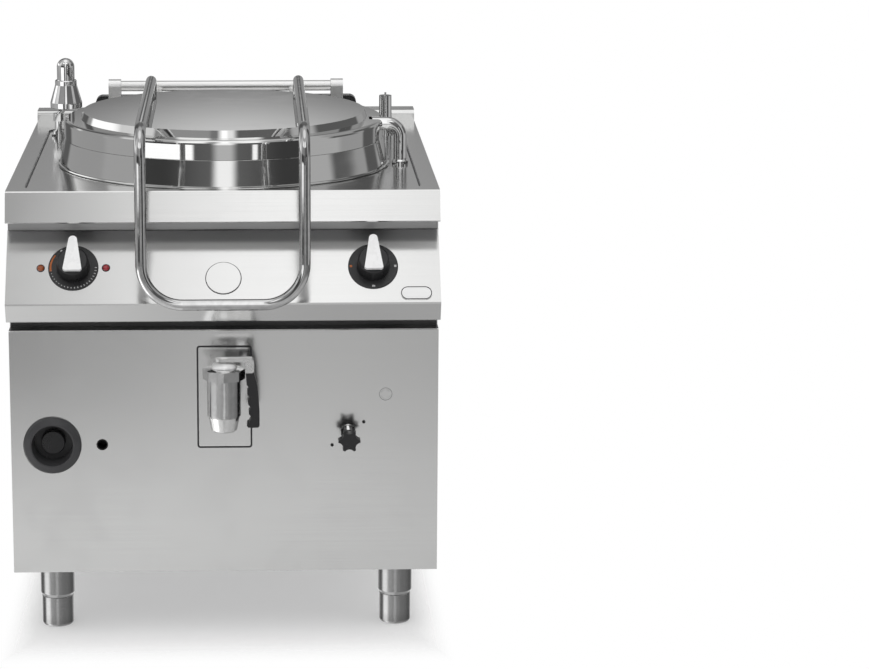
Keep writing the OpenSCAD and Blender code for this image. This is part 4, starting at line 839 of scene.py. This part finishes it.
def dark_ring(name, width, height, corner, thickness, rise, place, ink):
    """A flat ring, all sizes in millimetres: its outer outline, its width and how far it rises."""
    outer = round_outline(width, height, corner)
    inner = round_outline(width - 2 * thickness, height - 2 * thickness, max(corner - thickness, 0.05))
    loops = [[(x, y, z) for x, y in line]
             for line, z in ((outer, 0), (inner, 0), (inner, rise), (outer, rise))]
    closed_skin(name, loops, place, ink)


# %% [markdown]
# A line on the upright front is turned to face it, and a line on the control panel is laid on the slope.
# Both stand a hair proud of the sheet, so that the two faces don't fight.

# %% Dark lines and outlines
LINE_LIFT = 0.02  # millimetres
RECESS_HEIGHT = 867.05  # millimetres
front_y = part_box("front_panel")[0].y - LINE_LIFT * MM
slope = slope_height("control_panel")


def on_front(name):
    """Stands flat marks on the upright front, round a node's middle."""
    centre = middle(name)
    return Matrix.Translation((centre.x, front_y, centre.z)) @ Matrix.Rotation(math.pi / 2, 4, "X")


def on_panel(name, height=slope):
    """Lays flat marks on the control panel's slope, round a node's middle."""
    return on_slope(middle(name), height, LINE_LIFT)


# the lines round the cover, the plug and the cap and at the recess are painted shade; the badge and the
# lamps get outlines
dark_lines = [
    # name, width, height, corner, line's width, rise, place, ink
    ("cover_slit_painted_shade", 103.0, 197.0, 6.0, 3.2, 0.35, on_front("tap_cover_plate"), shade_and_outline_ink),
    ("plug_gap_painted_shade", 24.4, 24.4, 12.2, 0.9, 0.2, on_front("blanking_plug"), faint_shade_ink),
    ("cap_gap_painted_shade", 67.0, 67.0, 33.5, 0.9, 0.2, on_panel("panel_cap"), grey_shade_ink),
    ("badge_outline", 57.0, 26.0, 12.6, 1.6, 0.12, on_panel("badge_plate", slope_height("badge_plate")),
     shade_and_outline_ink),
    ("amber_lamp_bezel", 15.6, 15.6, 7.8, 2.0, 0.3, on_panel("amber_lamp"), shade_and_outline_ink),
    ("red_lamp_bezel", 15.6, 15.6, 7.8, 2.0, 0.3, on_panel("red_lamp"), shade_and_outline_ink),
    ("recess_step_painted_shade", 734.0, 739.0, 33.5, 3.0, 0.15,
     Matrix.Translation((0, 2 * MM, RECESS_HEIGHT * MM)), grey_shade_ink),
]
for seam in dark_lines:
    dark_ring(*seam)

# %% [markdown]
# ## The cap of the tap
# The polished top of the tap's nut is slightly domed. The dome is a thin shell turned about the nut's
# axis: a profile of radius and height that is swept round. Its finish is pale and only partly metal: a
# painted highlight that stands for the bright reflection on the polished top.

# %% The domed cap
DOME_STEPS = 72
DOME_SUNK = 7  # how far the dome's foot lies below the top of the nut's box, in millimetres
dome_profile = [
    (24.6, -0.15), (24.2, 1.6), (23.4, 3.4), (22.2, 5.2), (20.6, 6.7), (18.0, 7.9), (14.5, 8.7),
    (10.5, 9.2), (7.6, 9.4), (7.6, 9.1), (10.5, 8.9), (14.5, 8.4), (18.0, 7.6), (20.3, 6.5), (21.9, 5.1),
    (23.1, 3.4), (23.9, 1.6), (24.3, -0.1),
]
dome_angles = [2 * math.pi * step / DOME_STEPS for step in range(DOME_STEPS)]
dome_foot = middle("tap_cap_nut")
dome_foot.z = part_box("tap_cap_nut")[1].z - DOME_SUNK * MM
dome = closed_skin(
    "cap_nut_dome",
    [[(radius * math.cos(angle), radius * math.sin(angle), height) for angle in dome_angles]
     for radius, height in dome_profile],
    Matrix.Translation(dome_foot), dome_painted_highlight)
dome.shade_smooth()

# %% [markdown]
# ## The studio
# A metal shows what stands round it, so the surroundings are as much a part of its look as its own
# colour. The world is white where the camera looks straight at it. Where a metal looks, it is a plain
# studio of soft panels, walls and boards. Everything else gets an even soft light.
#
# The studio is painted by direction: the turn from the front and the angle up, both in degrees. It is a
# list of patches, each painted over those before it.


# %% Painting by direction
def window(tree, value, rise, full, fade, gone):
    """One between full and fade, and zero before rise and after gone."""
    return times(tree, ramp(tree, value, rise, full), ramp(tree, value, gone, fade))


def paint(tree, base, mask, level, label=""):
    """The base value with a level painted over it where the mask is one."""
    return put(tree, "ShaderNodeMix", {0: mask, 2: base, 3: level}, data_type="FLOAT",
               label=label).outputs[0]


def paint_patches(tree, base, patches):
    """Paints each patch: a label, a level, and values with a ramp's two or a window's four limits."""
    for label, level, *limits in patches:
        masks = [(ramp if len(numbers) == 2 else window)(tree, value, *numbers)
                 for value, *numbers in limits]
        mask = masks.pop()
        while masks:
            mask = times(tree, masks.pop(), mask)
        base = paint(tree, base, mask, level, label)
    return base


# %% [markdown]
# Above the eye stand the wall behind, the side walls with a dark gap between each of them and the
# middle, a narrow lamp, a low white board, and the soft panel overhead that the lid and the worktop show.


# %% The studio above
def studio_above(tree, x, y, turn, up):
    """How bright the studio is in a direction above the floor."""
    aside = math_node(tree, "ABSOLUTE", turn)
    # dim at the height of the lid's far edge, brighter just above it, and darker away from the middle
    wall = ramp(tree, up, 8.0, 9.0, 0.20, 0.78, smooth=False)
    wall = paint(tree, wall, ramp(tree, up, 7.0, 5.6), 0.62)
    wall = minus(tree, wall, ramp(tree, up, 10.5, 26.0, 0.0, 0.42))
    off = math_node(tree, "ABSOLUTE", plus(tree, x, 0.004))
    wall = times(tree, wall, ramp(tree, off, 0.0, 0.07, 1.0, 0.50))
    # the strip lamp leans, so its turn depends on the angle up
    strip = plus(tree, turn, times(tree, plus(tree, up, 9.3), -0.34))
    # the light over the worktop is dim on the left, full in the middle and a little weaker on the right
    soft = ramp(tree, up, 27, 60, 0.22, 0.44)
    soft = paint(tree, soft, ramp(tree, x, -0.084, -0.012, smooth=False), 1.48)
    soft = minus(tree, soft, ramp(tree, x, 0.03, 0.07, 0.0, 0.40))
    left_wall = plus(tree, 0.46, ramp(tree, up, 12, 17, 0.0, 0.4))
    return paint_patches(tree, 0.30, [
        ("wall behind", wall, (aside, 132, 150)),
        ("grey corners", 0.40, (aside, 86, 93, 148, 158)),
        ("dark band, right corner", 0.12, (turn, 117, 121, 134, 139)),
        ("dark band, left corner", 0.12, (turn, -164, -156, -145, -139)),
        ("right wall", 0.52, (turn, 56, 63, 88, 95)),
        ("dark board, right", 0.13, (turn, 78, 86, 132, 140), (up, 3, 5, 24, 30)),
        ("bright board, left", 1.45, (turn, -138, -132, -90, -78), (up, 6, 8, 16, 22)),
        ("left wall", left_wall, (turn, -97, -90, -63, -56)),
        ("dark gap", ramp(tree, aside, 8, 45, 0.14, 0.055), (turn, -61, -57, 54, 60)),
        ("grey above the gap, left", 0.36, (turn, -62, -56, -12, -8), (up, 15, 22)),
        ("dim above the gap, right", 0.15, (turn, 10, 16, 54, 60), (up, 15, 22)),
        ("strip lamp, right", 1.3, (strip, 19.6, 21.2, 23.2, 24.8), (up, -13, -11, 12, 15)),
        ("low white board, left", 1.47, (turn, -60.5, -58.5, -23.0, -20.0), (up, -10.6, -10.1, -4, 0)),
        ("stripe in the middle", ramp(tree, up, 0, 9, 0.6, 1.22), (turn, -10, -3, 4, 11)),
        ("soft panel overhead", 0.6, (up, 45, 60)),
        ("light in front of it", 1.4, (turn, -50, -42, 32, 42), (up, 40, 44, 56, 62)),
        ("light over the worktop", soft, (x, -0.2, -0.12, 0.09, 0.2), (up, 14, 18, 68, 72),
         (y, 0.1, -0.1)),
        ("ceiling", 1.2, (up, 68, 74)),
    ])


# %% [markdown]
# Below the eye the studio is darker to the right. The front panel and the lip of the control panel look
# down at its middle, so that part has levels of its own, which change from left to right and from top to
# foot.


# %% The studio below
def studio_below(tree, x, turn, up):
    """How bright the studio is in a direction towards the floor."""
    aside = math_node(tree, "ABSOLUTE", turn)
    low = paint_patches(tree, ramp(tree, turn, -30, 90, 0.42, 0.15, smooth=False), [
        ("white board, far left", ramp(tree, up, -14.8, -17.6, 0.5, 1.9), (turn, -104, -86, -66, -44)),
        ("dark sides", 0.12, (aside, 97, 110)),
        ("grey behind", 0.55, (aside, 130, 150)),
    ])
    low = plus(tree, low, ramp(tree, up, -20, -30, 0.0, 0.35))
    top = plus(tree, ramp(tree, x, -0.070, 0.005, 0.0, 0.48), ramp(tree, x, 0.025, 0.065, 0.0, -0.12))
    foot = ramp(tree, x, -0.08, 0.06, 1.48, 0.98, smooth=False)
    front = paint_patches(tree, top, [
        ("foot of the front", foot, (up, -13.7, -16.7)),
        ("floor in front", 0.5, (up, -17.75, -18.1)),
    ])
    lip = plus(tree, ramp(tree, x, -0.08, 0.02, 0.82, 0.42), ramp(tree, x, 0.03, 0.06, 0.0, 0.06))
    return paint_patches(tree, low, [
        ("middle of the front", front, (turn, -11, -8, 8, 11)),
        ("floor straight below", lip, (up, -45, -55)),
    ])


# %% [markdown]
# The Light Path node tells the kinds of rays apart: mirror rays see the painted studio, the camera sees
# at least white, and all other rays see one even level.

# %% World
EVEN_LEVEL = 0.6


def studio_world():
    world = bpy.data.worlds.new("studio")
    scene.world = world
    world.use_nodes = True
    world.cycles.sampling_method = "NONE"
    tree = world.node_tree
    tree.nodes.clear()
    x, y, z = split(tree, put(tree, "ShaderNodeTexCoord").outputs["Generated"])
    turn = times(tree, math_node(tree, "ARCTAN2", x, times(tree, y, -1.0)), 180 / math.pi)
    up = times(tree, math_node(tree, "ARCSINE", z), 180 / math.pi)
    painted = paint(tree, studio_above(tree, x, y, turn, up), ramp(tree, up, -11.4, -12.6),
                    studio_below(tree, x, turn, up))
    ray = put(tree, "ShaderNodeLightPath").outputs
    mirror = most(tree, ray["Is Glossy Ray"], ray["Is Transmission Ray"])
    level = most(tree, paint(tree, EVEN_LEVEL, mirror, painted), ray["Is Camera Ray"])
    back = put(tree, "ShaderNodeBackground", {"Color": grey(1.0), "Strength": level})
    put(tree, "ShaderNodeOutputWorld", {0: back.outputs[0]})
    print("studio of", len(tree.nodes), "nodes")


studio_world()


# %% [markdown]
# Two large lamps give the soft shadow under the cabinet. They light what is matt. Mirror rays don't see
# them, so metals show only the painted studio, and their reflections stay calm.


# %% Lamps
def soft_lamp(name, place, aim, size, power):
    data = bpy.data.lights.new(name, "AREA")
    data.shape = "SQUARE"
    data.size = size
    data.energy = power
    lamp = bpy.data.objects.new(name, data)
    scene.collection.objects.link(lamp)
    lamp.location = place
    lamp.rotation_euler = (Vector(aim) - Vector(place)).to_track_quat("-Z", "Y").to_euler()
    lamp.visible_glossy = False
    print(name, power, "W")


object_middle = (0.0, 0.0, 0.5)
soft_lamp("key_lamp", (-1.4, -2.6, 3.2), object_middle, 2.4, 42)
soft_lamp("fill_lamp", (2.4, -1.4, 2.4), object_middle, 2.0, 14)


# %% [markdown]
# The floor is a pale disc that only carries the shadow. Away from the object it turns clear, so that the
# white world takes over without a line. Mirror rays pass through it, because the studio already paints
# the floor that they see. A share of its brightness is its own, for the camera alone, which keeps the
# shadow as light as in the picture.


# %% Floor
FLOOR_RADIUS = 3.0  # metres
OWN_LIGHT = 0.33  # share of the floor's brightness


def studio_floor():
    mesh = bpy.data.meshes.new("floor")
    form = bmesh.new()
    bmesh.ops.create_circle(form, cap_ends=True, segments=96, radius=FLOOR_RADIUS)
    form.to_mesh(mesh)
    form.free()
    floor = bpy.data.objects.new("floor", mesh)
    scene.collection.objects.link(floor)
    material = bpy.data.materials.new("floor_pale")
    material.use_nodes = True
    tree = material.node_tree
    tree.nodes.clear()
    place = put(tree, "ShaderNodeTexCoord").outputs["Object"]
    x, y = split(tree, place)[:2]
    ray = put(tree, "ShaderNodeLightPath").outputs
    seen = most(tree, ray["Is Camera Ray"], ray["Is Transmission Ray"])
    matt = put(tree, "ShaderNodeBsdfDiffuse", {"Color": grey(0.9)})
    glow = put(tree, "ShaderNodeEmission", {"Color": grey(1.0), "Strength": 1.0})
    lit = put(tree, "ShaderNodeMixShader", {0: times(tree, seen, OWN_LIGHT), 1: matt.outputs[0],
                                            2: glow.outputs[0]})
    # clear beside, in front of and behind the object for the camera, and everywhere for mirrors
    edge = ramp(tree, math_node(tree, "ABSOLUTE", x), 0.35, 0.43)
    edge = most(tree, edge, ramp(tree, y, -0.33, -0.52))
    edge = most(tree, edge, ramp(tree, y, 0.40, 0.55))
    edge = most(tree, times(tree, edge, seen), ray["Is Glossy Ray"])
    far = put(tree, "ShaderNodeVectorMath", {0: place}, operation="LENGTH").outputs["Value"]
    fade = most(tree, ramp(tree, far, 0.9, 1.9), edge)
    clear = put(tree, "ShaderNodeBsdfTransparent")
    faded = put(tree, "ShaderNodeMixShader", {0: fade, 1: lit.outputs[0], 2: clear.outputs[0]})
    put(tree, "ShaderNodeOutputMaterial", {"Surface": faded.outputs[0]})
    mesh.materials.append(material)
    print("floor of", len(mesh.vertices), "points")


studio_floor()
